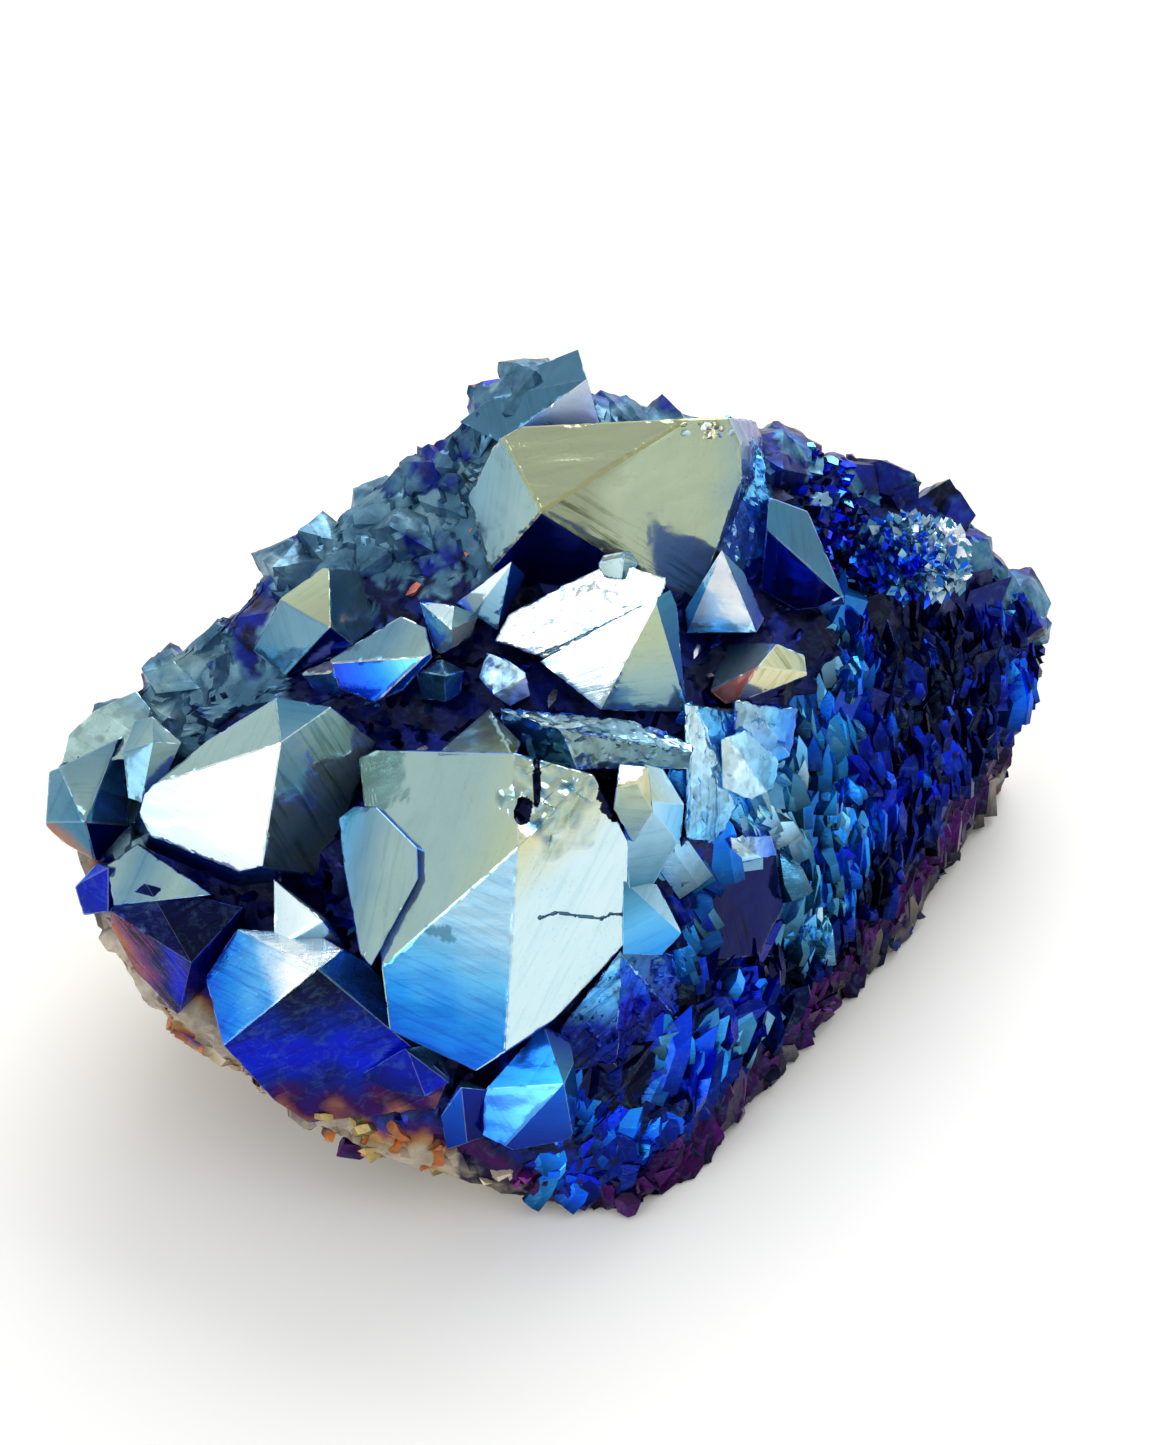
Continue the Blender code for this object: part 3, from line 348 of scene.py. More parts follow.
        tip=(5.4, 33.2, 17.8),
        ridges=[(8.2, 33.2, 15.4), (10.5, 28.4, 12.4), (5.2, 26.4, 14.8)],
        outline=[(4.6, 33.8), (8.0, 33.4), (10.5, 28.5), (8.5, 26.3), (4.6, 26.4)],
        root=0.0),
    "front_left": dict(
        tip=(-11.6, 13.0, 11.4),
        ridges=[(-13.7, 10.0, 8.6), (-12.6, 13.8, 9.8), (-9.2, 12.7, 9.8), (-11.0, 6.6, 6.6),
                (-13.7, 10.0, 8.6)],
        outline=[(-13.7, 10.0), (-11.6, 13.7), (-9.0, 12.7), (-9.4, 7.8), (-13.1, 6.6)],
        root=-2.0),
    "front_main": dict(
        tip=(-1.3, 13.4, 12.8),
        ridges=[(-6.6, 7.7, 9.0), (-9.3, 12.8, 9.6), (-3.4, 19.4, 12.0), (0.2, 16.6, 9.8),
                (-0.4, 8.0, 7.4), (-6.6, 7.7, 9.0)],
        outline=[(-6.3, 15.4), (-3.4, 19.3), (-0.6, 17.6), (0.2, 11.6), (-0.6, 7.6),
                 (-6.4, 6.6), (-9.5, 8.1), (-9.3, 12.6)],
        root=-2.0),
    "top_flank": dict(
        tip=(13.6, 79.4, 4.6),
        ridges=[(13.0, 62.5, 0.5), (19.4, 66.0, -5.0), (17.6, 80.0, -2.5)],
        outline=[(13.4, 80.2), (15.4, 80.6), (18.6, 77.5), (19.8, 71.0), (19.4, 65.4),
                 (15.0, 62.0), (13.4, 62.0)],
        root=-14.0),
    "lower_shelf": dict(
        tip=(4.4, 26.4, 12.6),
        ridges=[(-1.6, 17.6, 9.4), (4.0, 15.4, 6.4), (10.2, 19.6, 3.4), (10.6, 26.2, 6.0)],
        outline=[(-1.6, 18.8), (4.4, 26.8), (10.5, 26.4), (10.0, 19.8), (4.2, 15.2),
                 (-1.8, 14.6)],
        root=-6.0),
    "frost_sheet": dict(
        tip=(12.2, 50.6, 12.0),
        ridges=[(10.8, 38.4, 10.4), (16.2, 40.6, 5.8), (16.2, 50.4, 7.6)],
        outline=[(10.8, 51.5), (16.2, 50.6), (16.2, 41.4), (13.8, 37.6), (11.0, 38.0)],
        root=-6.0),
    "wall_plate": dict(
        tip=(17.4, 51.4, 8.4),
        ridges=[(16.2, 46.0, 7.2), (21.6, 46.2, 2.0), (22.2, 50.8, 2.2)],
        outline=[(15.8, 51.7), (22.3, 51.0), (21.5, 46.0), (18.0, 44.8), (16.0, 45.6)],
        root=-10.0),
    "bright_plate": dict(
        tip=(15.4, 47.8, 9.8),
        ridges=[(14.6, 42.6, 8.0), (19.4, 42.2, 3.6), (20.2, 46.8, 4.2)],
        outline=[(14.4, 48.0), (17.0, 48.8), (20.3, 46.0), (19.8, 42.8), (17.5, 41.8),
                 (14.6, 43.0)],
        root=-10.0),
    "dark_prism": dict(
        tip=(12.4, 37.0, 6.6),
        ridges=[(12.0, 26.4, 4.4), (19.0, 26.8, -3.4), (20.8, 36.6, -2.6)],
        outline=[(11.4, 37.6), (20.0, 37.2), (21.0, 31.0), (18.6, 26.0), (12.2, 25.2)],
        root=-12.0),
    "pale_ledge": dict(
        tip=(16.4, 37.4, 4.6),
        ridges=[(15.6, 35.4, 3.2), (19.6, 35.2, 1.2), (20.0, 37.6, 1.8)],
        outline=[(15.4, 38.0), (19.6, 38.2), (20.2, 36.2), (16.0, 35.4)],
        root=-8.0),
}
BARE_OF_BLADES = ("lower_shelf", "frost_sheet", "wall_plate", "bright_plate", "dark_prism",
                  "pale_ledge")

# --- Tones and wear of the crystals -----------------------------------------------------------
# FACES gives each roof face a row of tones, from the tip to its far edge, in the order of the
# ridges; in these rows white, pearl and in part frost are a painted highlight, on faces that mirror
# the bright floor and lights. SIDES gives the row down a crystal's own sides. STREAKS gives the
# slant in degrees and the strength of a face's growth lines, where they aren't the usual faint
# ones, and the ridge that they keep close to, if they do.

FACES = {
    "hero": "ice ice ice sky azure cobalt | cream frost frost frost | cream mist | sage mist mist "
            "mist",
    "hero_lobe": "mist mist steel sky",
    "hero_back": "sage mist | khaki mist",
    "left_white": "mist mist | steel teal | frost mist steel mist | white white frost",
    "left_chip": "mist steel | steel mist | mist teal | steel steel",
    "top_crystal": "khaki khaki | khaki khaki sage sage sage mist | navy deep | mist steel",
    "peak_crystal": "pearl pearl ice sky | slate slate | slate slate | violet slate",
    "middle_upper": "white frost white | white frost",
    "middle_knob": "frost mist | mist steel | mist teal | frost mist",
    "middle_lower": "frost white frost mist | sage sage mist steel | teal deep",
    "small_white": "white sky azure | pearl pearl white sky | teal deep",
    "small_blue": "cream sage | cream cream | salmon salmon | frost sky azure",
    "teal_upper": "teal slate teal | deep navy | navy deep",
    "teal_lower": "sky cobalt | ice sky | sky cobalt",
    "left_end": "teal steel | mist steel | teal navy | navy navy | teal teal rust",
    "left_slab": "mist mist | mist steel",
    "dark_left": "ink navy | ink ink navy | navy royal royal navy | navy royal navy magenta rust",
    "dark_left_top": "steel mist steel mist",
    "dark_left_blue": "royal cobalt | steel deep | deep navy | royal deep",
    "low_front": "ink ink navy deep royal royal deep plum rust | white white sky azure cobalt | "
                 "white white ice | teal navy",
    "low_front_step": "royal navy | deep royal | teal navy",
    "needle_left": "white frost | ice teal | cobalt navy | mist teal",
    "yellow_tip": "khaki sage | steel steel teal | deep navy | teal steel teal",
    "pale_ridge": "mist steel steel | sky cobalt deep | cobalt navy",
    "pale_ridge_end": "cream mist | mist steel | sky cobalt",
    "star_tip": "frost mist | mist steel | white frost | mist ice | steel sky",
    "needle_mid": "white frost | ice teal | cobalt deep",
    "chip_mid": "frost ice | white ice",
    "small_teal": "teal steel | steel teal | sky cobalt | teal deep",
    "behind_hero": "frost steel | steel ice | mist teal | teal navy",
    "cream_chip": "cream mist | cream khaki | sage steel",
    "teal_shell": "sage ice | ice sky | ice teal",
    "pale_prism": "steel ice | teal sky azure",
    "front_left": "cobalt deep | sky cobalt | deep navy | cobalt deep",
    "front_main": "sky cobalt | azure cobalt | teal deep | azure deep | cobalt deep",
    "top_flank": "ice ice sky | ice sky azure",
    "lower_shelf": "ice sky deep navy | azure royal navy | teal royal",
    "frost_sheet": "frost ice sky | sky azure",
    "wall_plate": "ice azure | ice sky cobalt",
    "bright_plate": "frost ice | ice sky",
    "dark_prism": "navy navy | ink navy",
    "pale_ledge": "frost sky | ice cobalt",
}
SIDES = {
    "top_crystal": "steel deep", "peak_crystal": "steel deep", "left_end": "teal rust",
    "left_slab": "steel deep", "yellow_tip": "steel deep", "teal_shell": "sky deep",
    "pale_prism": "ice cobalt", "front_main": "cobalt navy", "middle_lower": "teal navy",
    "middle_upper": "frost navy", "low_front": "deep violet", "left_chip": "steel navy",
    "top_flank": "sky deep", "frost_sheet": "sky deep", "bright_plate": "sky deep",
    "dark_prism": "deep ink",
}
DEEP_SIDES = "cobalt navy"
STREAKS = {
    ("hero", 0): (0.0, 0.3), ("hero", 1): (28.0, 0.25), ("hero", 2): (10.0, 0.3),
    ("hero", 3): (0.0, 0.04), ("top_crystal", 1): (59.0, 1.0, 2), ("top_crystal", 0): (40.0, 0.06),
    ("left_white", 2): (90.0, 0.7), ("left_white", 3): (20.0, 0.3),
    ("low_front", 0): (24.0, 0.6), ("low_front", 1): (60.0, 0.5),
    ("low_front", 2): (60.0, 0.6), ("middle_lower", 0): (65.0, 1.0),
    ("middle_lower", 1): (0.0, 0.15), ("middle_upper", 1): (80.0, 0.5),
    ("middle_upper", 0): (0.0, 0.4), ("star_tip", 0): (30.0, 0.4),
    ("dark_left", 3): (35.0, 1.0), ("dark_left", 2): (35.0, 0.8), ("dark_left", 1): (35.0, 0.8),
    ("small_blue", 0): (30.0, 0.7), ("small_blue", 1): (30.0, 0.7),
    ("top_flank", 0): (80.0, 0.4), ("top_flank", 1): (80.0, 0.4),
    ("frost_sheet", 0): (80.0, 0.9), ("dark_prism", 1): (90.0, 0.8),
    ("lower_shelf", 0): (60.0, 0.8), ("lower_shelf", 1): (60.0, 0.8),
}
USUAL_STREAK = (0.0, 0.18)
STREAK_START, STREAK_REACH = 1.2, 4.5           # how lines fade away from their ridge
SIDE_STREAK = 0.5
# the tone on a crystal's worn ridges: part film and part painted highlight; other crystals get pale
# frost there, a painted highlight
RIDGE_TONES = {"top_crystal": "straw", "yellow_tip": "khaki", "pale_ridge": "cream",
               "middle_lower": "khaki"}
WIDE_RIDGES = {"top_crystal": 0.3}
CRUSTS = {                          # crystals with a broken crust: its width and depth
    "frost_sheet": (2.0, 0.35), "wall_plate": (2.2, 0.35), "bright_plate": (2.2, 0.25),
    "pale_ledge": (1.6, 0.25), "top_flank": (1.5, 0.4), "lower_shelf": (2.4, 0.5),
    "left_slab": (3.0, 0.2), "middle_upper": (1.7, 0.12), "behind_hero": (2.0, 0.4),
    "pale_ridge_end": (1.6, 0.2), "small_teal": (1.8, 0.15), "chip_mid": (1.6, 0.15),
}
FINE_FACES = {"hero": 0.42, "top_crystal": 0.45, "low_front": 0.45, "left_white": 0.5}
WARP = {"low_front": 0.12, "dark_left": 0.2, "top_flank": 0.25, "lower_shelf": 0.2}
SIDE_REACH = 9.0                    # how far down a side its row of tones runs
# share of metal where it isn't full: thin film over bare stone, and white and pearl, painted
# highlights kept mostly plain so that they stay pale whatever they mirror
THIN_FILM = {"stone": 0.0, "olive": 0.2, "rust": 0.35, "salmon": 0.5, "magenta": 0.7,
             "white": 0.8, "pearl": 0.3}

# --- Tones of the rock ------------------------------------------------------------------------
# A row of steps pairs each value with the tone there.

UNDERSIDE = ((-0.48, "stone"), (-0.36, "olive"), (-0.28, "rust"), (-0.18, "plum"),
             (-0.04, "navy"), (0.14, "deep"))
LOW_SIDE = ((-0.8, "stone"), (-0.7, "olive"), (-0.62, "rust"), (-0.5, "plum"), (-0.3, "ink"),
            (-0.1, "navy"), (0.14, "deep"))
LOW_EDGE = ((-1.8, "stone"), (0.0, "ink"), (0.8, "plum"), (1.8, "plum"), (2.6, "ink"),
            (4.0, "deep"))
FRONT_EDGE = ((0.9, "stone"), (1.4, "olive"), (2.0, "rust"), (2.6, "plum"), (3.8, "deep"))
# the rock between the crystals and the rock under the blades are painted dark, as their shade
CREVICE_SHADE = ((-0.3, "ink"), (0.1, "navy"), (0.45, "deep"))
RIM_ROCK = ((-0.5, "ink"), (-0.38, "deep"), (-0.26, "slate"), (0.0, "slate"), (0.2, "steel"),
            (0.7, "mist"))
WALL_ROCK_SHADE = ((-0.2, "ink"), (0.2, "navy"), (0.5, "deep"))
DARK_RIM = ((-0.35, "ink"), (-0.15, "navy"), (0.05, "deep"), (0.25, "teal"), (0.5, "steel"))
WALL_STEPS = ((-0.22, "ink"), (-0.06, "navy"), (0.1, "deep"), (0.26, "royal"), (0.42, "cobalt"),
              (0.58, "azure"), (0.76, "teal"), (0.95, "sky"), (1.25, "ice"))
BOULDER_TONES = ((-0.45, "navy"), (-0.2, "royal"), (0.0, "cobalt"), (0.2, "teal"),
                 (0.45, "steel"), (0.9, "white"))

BED_RING = [corner[:2] for corner in FRONT_CORNERS]
LOW_RIM = [Vector(corner[:2]) for corner in FRONT_CORNERS[8:15]]
BACK_RIM = [Vector(corner[:2]) for corner in FRONT_CORNERS[BACK_RIM_START + 4:]]
FRONT_RIM = [Vector(corner[:2]) for corner in FRONT_CORNERS[:9]]
LOW_SIDE_START = 2.0                # how far across the underside turns dark
BARE_END = -12.0                    # where the bare stone of the front edge ends
RIM_WIDTH = 10.0                    # how far the grey broken rim reaches down the bed
RIM_REACH = 14.0                    # where it ends across, at the top crystal
CLOUD_WIDTH, LUMP_CLOUD, CLOUD_WAVES = 6.0, 4.0, (0.8, 2.1, 3)
FILM_WAVE, FILM_SHADE = 0.3, 0.15   # what the clouds and the flats add to a tone
FRONT_WAVE, LOW_WAVE, EDGE_SHADE = 1.5, 2.0, 1.4        # how the edges' tones waver
SIDE_WAVE, RIM_WAVE, TURN_WAVE = 4.0, 5.0, 0.12         # and where each kind of rock ends
FACES_OUT = 0.05                    # the edge's tones need a place that faces out by this
TURNED_INSIDE, TURNED_OUTSIDE = -0.15, 0.12     # what faces out less has the underside's film
FOOT_BARE, FOOT_REACH = 0.25, 9.0   # how bare the foot is, and how far up
LUMP_TURNED = -0.1                  # a lump's place that faces out less has the underside's film
BOULDER_FADE = (0.06, 0.05)         # how the boulder pales across and up
BOULDER_LIGHT, BOULDER_SHADE = 0.15, 0.5        # its middle tone, and the flats' share

# --- Wear and breaks --------------------------------------------------------------------------

WARP_GRAIN, USUAL_WARP, SIDE_WARP = 0.35, 0.07, 0.1     # how a row of tones wavers
FLAT_FACE, FLAT_POINT = 0.999, 0.9995           # what still counts as lying on a flat face
RIDGE_HIGHLIGHT_REACH = 3.0                    # how far below the roof's rim worn edges get a pale painted highlight
RIDGE_SHARE, USUAL_RIDGE_HIGHLIGHT = 0.5, 0.16            # how much of its own tone a worn ridge shows, part film and part painted highlight; the usual share is of pale frost, a painted highlight
STEP_GRAIN, STEP_WAVES, STEP_COUNT, STEP_SLOPE = (0.09, 0.34, 0.34), (0.8, 2.0, 2), 4.0, 0.4
NICK_GRAIN, NICK_START = 0.9, 0.12
CRUST_FLATS, CRUST_SHADES = (0.4, 0.5), (0.55, 0.45)    # a crust's small flats, both shades

BREAK_REACH = 8.0                   # no break lies lower than this below the roof's rim
CHIP_PLACE, CHIP_RADIUS, CHIP_DEPTH = (-2.2, 42.6), 5.8, 0.6
CHIP_FLATS, CHIP_BED = (2.6, 0.35), 0.3
CHIP_GRAIN, CHIP_RAGGED = 0.45, 0.35            # how its edge wanders
CHIP_STEPS = ((-0.5, "teal"), (-0.3, "slate"), (-0.1, "mist"), (0.1, "sage"), (0.3, "mist"),
              (0.5, "frost"))
CHIP_BLEND = 2.4                    # how fast the chip's tones take over from its edge in
# Each pit and smudge has its place, half its width and half its height. A pit is sunk and painted
# ink, as the shade down in it.
INK_SHADED_PITS = (((-5.4, 40.8), 0.9, 1.3), ((-4.0, 44.0), 0.35, 2.6), ((3.4, 43.6), 1.3, 3.6))
SMUDGES = (((-13.6, 29.0), 1.5, 0.6), ((-12.6, 28.2), 0.8, 0.4))
PIT_DEPTH, SMUDGE_SHARE = 0.9, 0.7
CRACKS = {                          # corners of the crack over a crystal's roof
    "hero": ((-3.7, 30.2), (-1.9, 30.7), (0.4, 30.3), (2.4, 30.0), (3.4, 30.5), (5.2, 30.4)),
    "middle_upper": ((-4.2, 56.2), (0.0, 58.0), (4.0, 60.0), (8.4, 62.0)),
}
CRACK_WIDTH, CRACK_DEPTH, BREAK_GRAIN = 0.15, 0.2, 0.2  # and the longest edge beside it

# --- Shards, crumbs and druse -----------------------------------------------------------------

FLAT_LIGHT = (0.7, 1.6)             # how dark and how light the painted light on the flats of one shard is
ROOT_LIGHT = ((0.1, 0.2), (0.4, 0.75), (0.8, 1.25))     # height up a shard, and the painted light there: painted shade towards the root
SHARD_SIDES, SHARD_SLOPES, SHARD_POINTS = 6, (0.5, 1.0), (0.86, 1.0)
FLAKE_SIDES, FLAKE_STRETCH = 7, (0.62, 1.1)
PATCH, PATCH_STEP, PATCH_RANGE = 7.0, 9.7, 1.6  # the patches of shards that grow alike
SHADED_WALL_GAPS = (((14.0, 22.5), 9.0, 3.8), ((31.5, 31.5), 3.5, 5.0), ((34.5, 52.0), 3.0, 4.0),
             ((3.5, 15.5), 3.0, 4.0))           # where the wall is deep and painted darker as shade: the place and half sizes
WALL_RING = [                       # (across, up): the ring where shards grow, past the blades
    (10.0, 50.0), (23.5, 50.0), (26.0, 60.0), (47.2, 61.5), (47.0, 46.0), (38.5, 31.0),
    (25.5, 17.5), (13.0, 3.0), (5.0, -0.5), (-3.0, 3.0), (-3.0, 14.0), (0.0, 18.0), (7.0, 27.0),
]
WALL_ACROSS, WALL_UP = (-3.0, 47.5), (-0.5, 62.0)
PALE_HEAD, PALE_FROM, PALE_FADE = 2.3, 8.0, 12.5        # the wall is pale at its left
PALE_LEAST, PALE_TOP = 0.5, 30.0    # and half as pale at its foot
# the last value is how much darker the deep gaps are painted, as their shade
PALE_SHARE, DRIFT_SHARE, TONE_SPREAD, GAP_SHADE = 0.9, 0.35, 0.16, 0.65
SHARD_LOWEST = 0.8                  # no shard starts lower than this above the foot
SHARD_LENGTHS, SHARD_WIDTHS = (2.6, 6.0), (1.5, 3.2)    # the least, and what is added at most
SHARD_LARGE, SHARD_SMALLER = 1.3, 0.5           # they are largest here across, and away from
SHARD_MIDDLE, SHARD_FADE = 12.0, 14.0           # there they get smaller over this distance
SLANT_DRIFT, SLANT_SPREAD, SLANT_BELOW = 0.45, 0.12, 0.8        # by patch, alone and low down
SWING_OUT, SWING_DRIFT, SWING_SPREAD = 0.25, 0.3, 0.15          # how they stand off the wall
TWIST_DRIFT, TWIST_SPREAD = 0.6, 0.2
CREVICE_CRUMBS = ("ink", "navy", "deep", "royal", "deep", "teal", "sky", "white")
CRUMB_ACROSS, CRUMB_UP, CRUMB_SIZES = (-52.0, 30.0), (4.0, 84.0), (0.8, 2.0)
CRUMB_EDGE = 6.0                    # no crumb lies nearer to the front rim
EDGE_COUNT = 380                    # flakes tried along the low edge
EDGE_SPREAD, EDGE_BELOW = (0.6, 1.5), 0.6       # how far they stray, and start below it
EDGE_SHAPE, EDGE_SINK, EDGE_LEAN = (1.1, 0.8, 1.3), 1.06, 1.2
EDGE_CRUMBS = (                     # how far across, and the share, sizes and tones there
    (-27.0, 0.5, (0.6, 1.0), ("stone", "deep")),
    (-13.0, 0.4, (2.0, 3.6), ("olive", "rust", "olive", "plum")),
    (-6.0, 0.5, (1.6, 3.0), ("stone", "rust", "stone", "olive")),
    (6.0, 1.0, (1.2, 2.6), ("plum", "plum", "ink", "magenta", "deep", "plum")),
    (60.0, 0.9, (0.9, 2.0), ("ink", "plum", "navy", "ink", "deep", "ink")),
)
RED_BITS = ((-18.2, 63.0, "salmon", 2.4), (-12.2, 66.4, "rust", 1.2), (-11.6, 69.0, "rust", 1.0))
CORNER_BITS = 26                    # bits of crust at the far corner of the top crystal
CORNER_PLACE, CORNER_SPREAD, CORNER_SIZES = (13.2, 79.2), (1.1, 0.6), (0.5, 1.2)
CORNER_TONES = ("cream", "frost", "white", "khaki")
DRUSE_COUNT, DRUSE_SIZES, DRUSE_SHADES, DRUSE_LEAN = 520, (0.7, 2.0), (-0.9, 0.9), 0.3
DRUSE_FIELDS = (                    # (across, up), the spread and the count of tiny crystals
    ((26.4, 68.4), (2.2, 3.4), 210), ((45.0, 59.0), (1.6, 2.6), 70), ((22.0, 76.0), (2.0, 1.2), 50),
)
DRUSE_TONES = ("ink", "navy", "royal", "royal", "cobalt", "plum", "sky")

# --- Finishes and stage -----------------------------------------------------------------------
# Each finish has its name, its range of roughness and its share of metal, then the scale,
# strength, specks and bloom of its mottling, then the lines, pits and height of its growth.

FINISHES = {
    "face": ("film_on_faces", (0.1, 0.24), 0.82, (110.0, 0.16, 0.25, 0.0), (0.6, 0.1, 0.16)),
    "dark": ("film_on_dark_faces", (0.12, 0.4), 0.86, (150.0, 0.5, 0.4, 0.16), (1.0, 0.3, 0.6)),
    "wall": ("film_on_shards", (0.12, 0.34), 0.9, (420.0, 0.4, 0.3, 0.15), (1.0, 0.4, 0.6)),
    "rock": ("film_on_broken_rock", (0.26, 0.52), 0.72, (520.0, 0.6, 0.8, 0.1),
             (0.3, 1.0, 0.9)),
    "druse": ("film_on_druse", (0.08, 0.22), 0.9, (600.0, 0.5, 0.3, 0.2), (0.2, 0.6, 0.5)),
}
DARK_FACED = ("dark_left", "dark_left_blue", "low_front", "low_front_step", "lower_shelf")
CREASES = {"rock": 24.0, "crystals": 28.0, "blades": 20.0, "shards": 10.0, "bits": 12.0,
           "lumps": 22.0}               # edges sharper than this stay sharp, in degrees
SPECK_COLOUR, BLOOM_COLOUR = (0.0, 0.01, 0.04, 1.0), (0.1, 0.25, 0.42, 1.0)
SPECK_SCALE, BLOOM_SCALE, PIT_SCALE = 1900.0, 520.0, 900.0
GROWTH_TURN, GROWTH_SCALE = (-BED_TIP, 0.12, 0.22), (260.0, 2400.0, 2400.0)
STREAK_SLOW, STREAK_FAST = 0.11, 1.5            # waves along and across the growth lines
MOTTLE_DEPTH, STREAK_DEPTH = 2.2, 2.4           # how far thicker film deepens a tone
BUMP_HEIGHT = 0.0001

FLOOR_SIZE, FLOOR_DROP = 6.0, 0.0002            # the floor lies just under the foot
PAPER, PAPER_ROUGHNESS = (0.88, 0.88, 0.855, 1.0), 0.7
LIGHTS = (("key", (0.35, 1.0, 0.75), 1.0, 13.0), ("fill", (-0.75, -0.8, 0.36), 0.7, 4.0))
ROOM_FACING, ROOM_LIGHT = (0.45, 0.95), (1.02, 0.68)    # how the room darkens in front
AIM = (0.0, 49.6, 15.0)             # the place on the bed at the middle of the view
CAMERA_AWAY = 1200.0                # how far out of the bed the camera stands
VIEW_HEIGHT = 144.5                 # what the view takes in there
VIEW_END = 10.0
SENSOR = 36.0

POINTS, EDGES, FLATS = (True, False, False), (False, True, False), (False, False, True)
SOCKETS = {"Colour": "NodeSocketColor", "Place": "NodeSocketVector",
           "Growth": "NodeSocketVector"}


def tone(name, description, red, green, blue):
    """Make a colour property from the red, green and blue of a screen, 0 to 255."""
    linear = [((part / 255 + 0.055) / 1.055) ** 2.4 for part in (red, green, blue)]
    return FloatVectorProperty(name=name, description=description, subtype="COLOR", size=3,
                               min=0.0, max=1.0, default=linear)


class FilmTones(bpy.types.PropertyGroup):
    """Colours of the metal film, from thin to thick, and of the bare stone under it."""

    stone: tone("Bare stone", "Quartz that the film missed", 176, 164, 144)
    rust: tone("Rust", "The thinnest film, over stone", 168, 100, 42)
    olive: tone("Olive", "Clear quartz stained by thin film", 150, 132, 76)
    straw: tone("Straw", "Yellow film along a worn ridge", 178, 176, 104)
    salmon: tone("Salmon", "Thin film on a broken face", 190, 110, 96)
    magenta: tone("Magenta", "Thin film between rust and blue", 100, 28, 110)
    violet: tone("Violet", "Film that turns from magenta to blue", 96, 84, 160)
    plum: tone("Plum", "Thin film in shade", 62, 12, 84)
    # ink and navy also serve as painted shade, in the crevices, pits and gaps and under the blades
    ink: tone("Ink", "Deep blue that is almost black", 2, 11, 50)
    royal: tone("Royal blue", "Film on deep faces that catch light", 2, 30, 196)
    navy: tone("Navy", "Film down in the crevices", 2, 18, 88)
    deep: tone("Deep blue", "Film on the prism sides", 2, 34, 146)
    cobalt: tone("Cobalt", "Film low on the roof faces", 10, 98, 220)
    azure: tone("Azure", "Film on shards in the light", 34, 146, 232)
    slate: tone("Slate", "Film on rock half turned away", 70, 116, 144)
    sky: tone("Sky", "Film on faces half turned away", 96, 184, 234)
    ice: tone("Ice", "Pale blue film", 170, 216, 240)
    teal: tone("Teal", "Green blue film", 58, 120, 150)
    steel: tone("Steel", "Film on broken rock", 106, 150, 172)
    mist: tone("Mist", "Pale grey green film", 152, 182, 180)
    khaki: tone("Khaki", "The thickest film", 152, 162, 134)
    sage: tone("Sage", "Thick film turning green", 178, 194, 166)
    cream: tone("Cream", "Thick film at a worn tip", 214, 214, 176)
    # frost, white and pearl are partly a painted highlight: pale tones on faces that mirror the
    # bright floor and lights
    frost: tone("Frost", "Film on a bright face", 206, 232, 240)
    white: tone("White", "Film on the brightest faces", 244, 250, 252)
    pearl: tone("Pearl", "Milky film that scatters the light", 246, 250, 253)


class CrystalSizes(bpy.types.PropertyGroup):
    """Fineness and wear of the large crystals."""

    edge: FloatProperty(name="Edge wear", description="Width of the worn edges, mm",
                        default=0.11, min=0.02, max=1.0)
    grain: FloatProperty(name="Face grain", description="Longest edge on a face, mm",
                         default=0.6, min=0.2, max=5.0)
    step: FloatProperty(name="Growth steps", description="Height of the growth steps, mm",
                        default=0.07, min=0.0, max=1.0)
    nick: FloatProperty(name="Nicks", description="Depth of nicks along the edges, mm",
                        default=0.3, min=0.0, max=1.0)


class RockSizes(bpy.types.PropertyGroup):
    """Fineness of the broken rock and of what has grown on it."""

    grain: FloatProperty(name="Rock grain", description="Longest edge on the rock, mm",
                         default=0.95, min=0.5, max=8.0)
    facet: FloatProperty(name="Facets", description="Width of the broken facets, mm",
                         default=4.4, min=0.5, max=20.0)
    facet_depth: FloatProperty(name="Facet depth", description="Depth of the facets, mm",
                               default=1.0, min=0.0, max=3.0)
    shards: IntProperty(name="Shards", description="Number of shards tried on the wall",
                        default=3000, min=0, max=8000)
    crumbs: IntProperty(name="Crumbs", description="Number of crumbs tried in the crevices",
                        default=900, min=0, max=8000)


def film(name):
    """Give a tone of the film as a colour, with the share of metal in its alpha."""
    colour = getattr(bpy.context.scene.aura_tones, name)
    return np.array((*colour, THIN_FILM.get(name, 1.0)))


# --- Places -----------------------------------------------------------------------------------

def bed_axes():
    """Give the bed's directions (across, up, out) as the columns of a matrix."""
    tip_cos, tip_sin = math.cos(BED_TIP), math.sin(BED_TIP)
    return Matrix(((1.0, 0.0, 0.0), (0.0, tip_sin, -tip_cos), (0.0, tip_cos, tip_sin)))


BED = bed_axes()
OUT = BED @ Vector((0.0, 0.0, 1.0))


def on_bed(point):
    """Turn a place on the bed into one on the specimen's own axes."""
    return BED @ Vector(point)


def in_frame(point):
    """Turn a place on the specimen's own axes, in millimetres, into one in the frame."""
    return (Vector(point) + ORIGIN_SHIFT) * MILLIMETRE


def inside(point, corners):
    """Say whether a flat point lies inside a ring of corners."""
    hits = False
    for (x0, y0), (x1, y1) in zip(corners, corners[1:] + corners[:1]):
        if (y0 > point[1]) != (y1 > point[1]):
            hits ^= point[0] < x0 + (point[1] - y0) * (x1 - x0) / (y1 - y0)
    return hits


def distance_to(rim, place):
    """Say how far a place on the bed lies from a line of corners."""
    spot = Vector(place[:2])
    nearest = 100.0
    for start, end in zip(rim, rim[1:]):
        run = end - start
        share = max(0.0, min(1.0, (spot - start).dot(run) / run.length_squared))
        nearest = min(nearest, (start + run * share - spot).length)
    return nearest


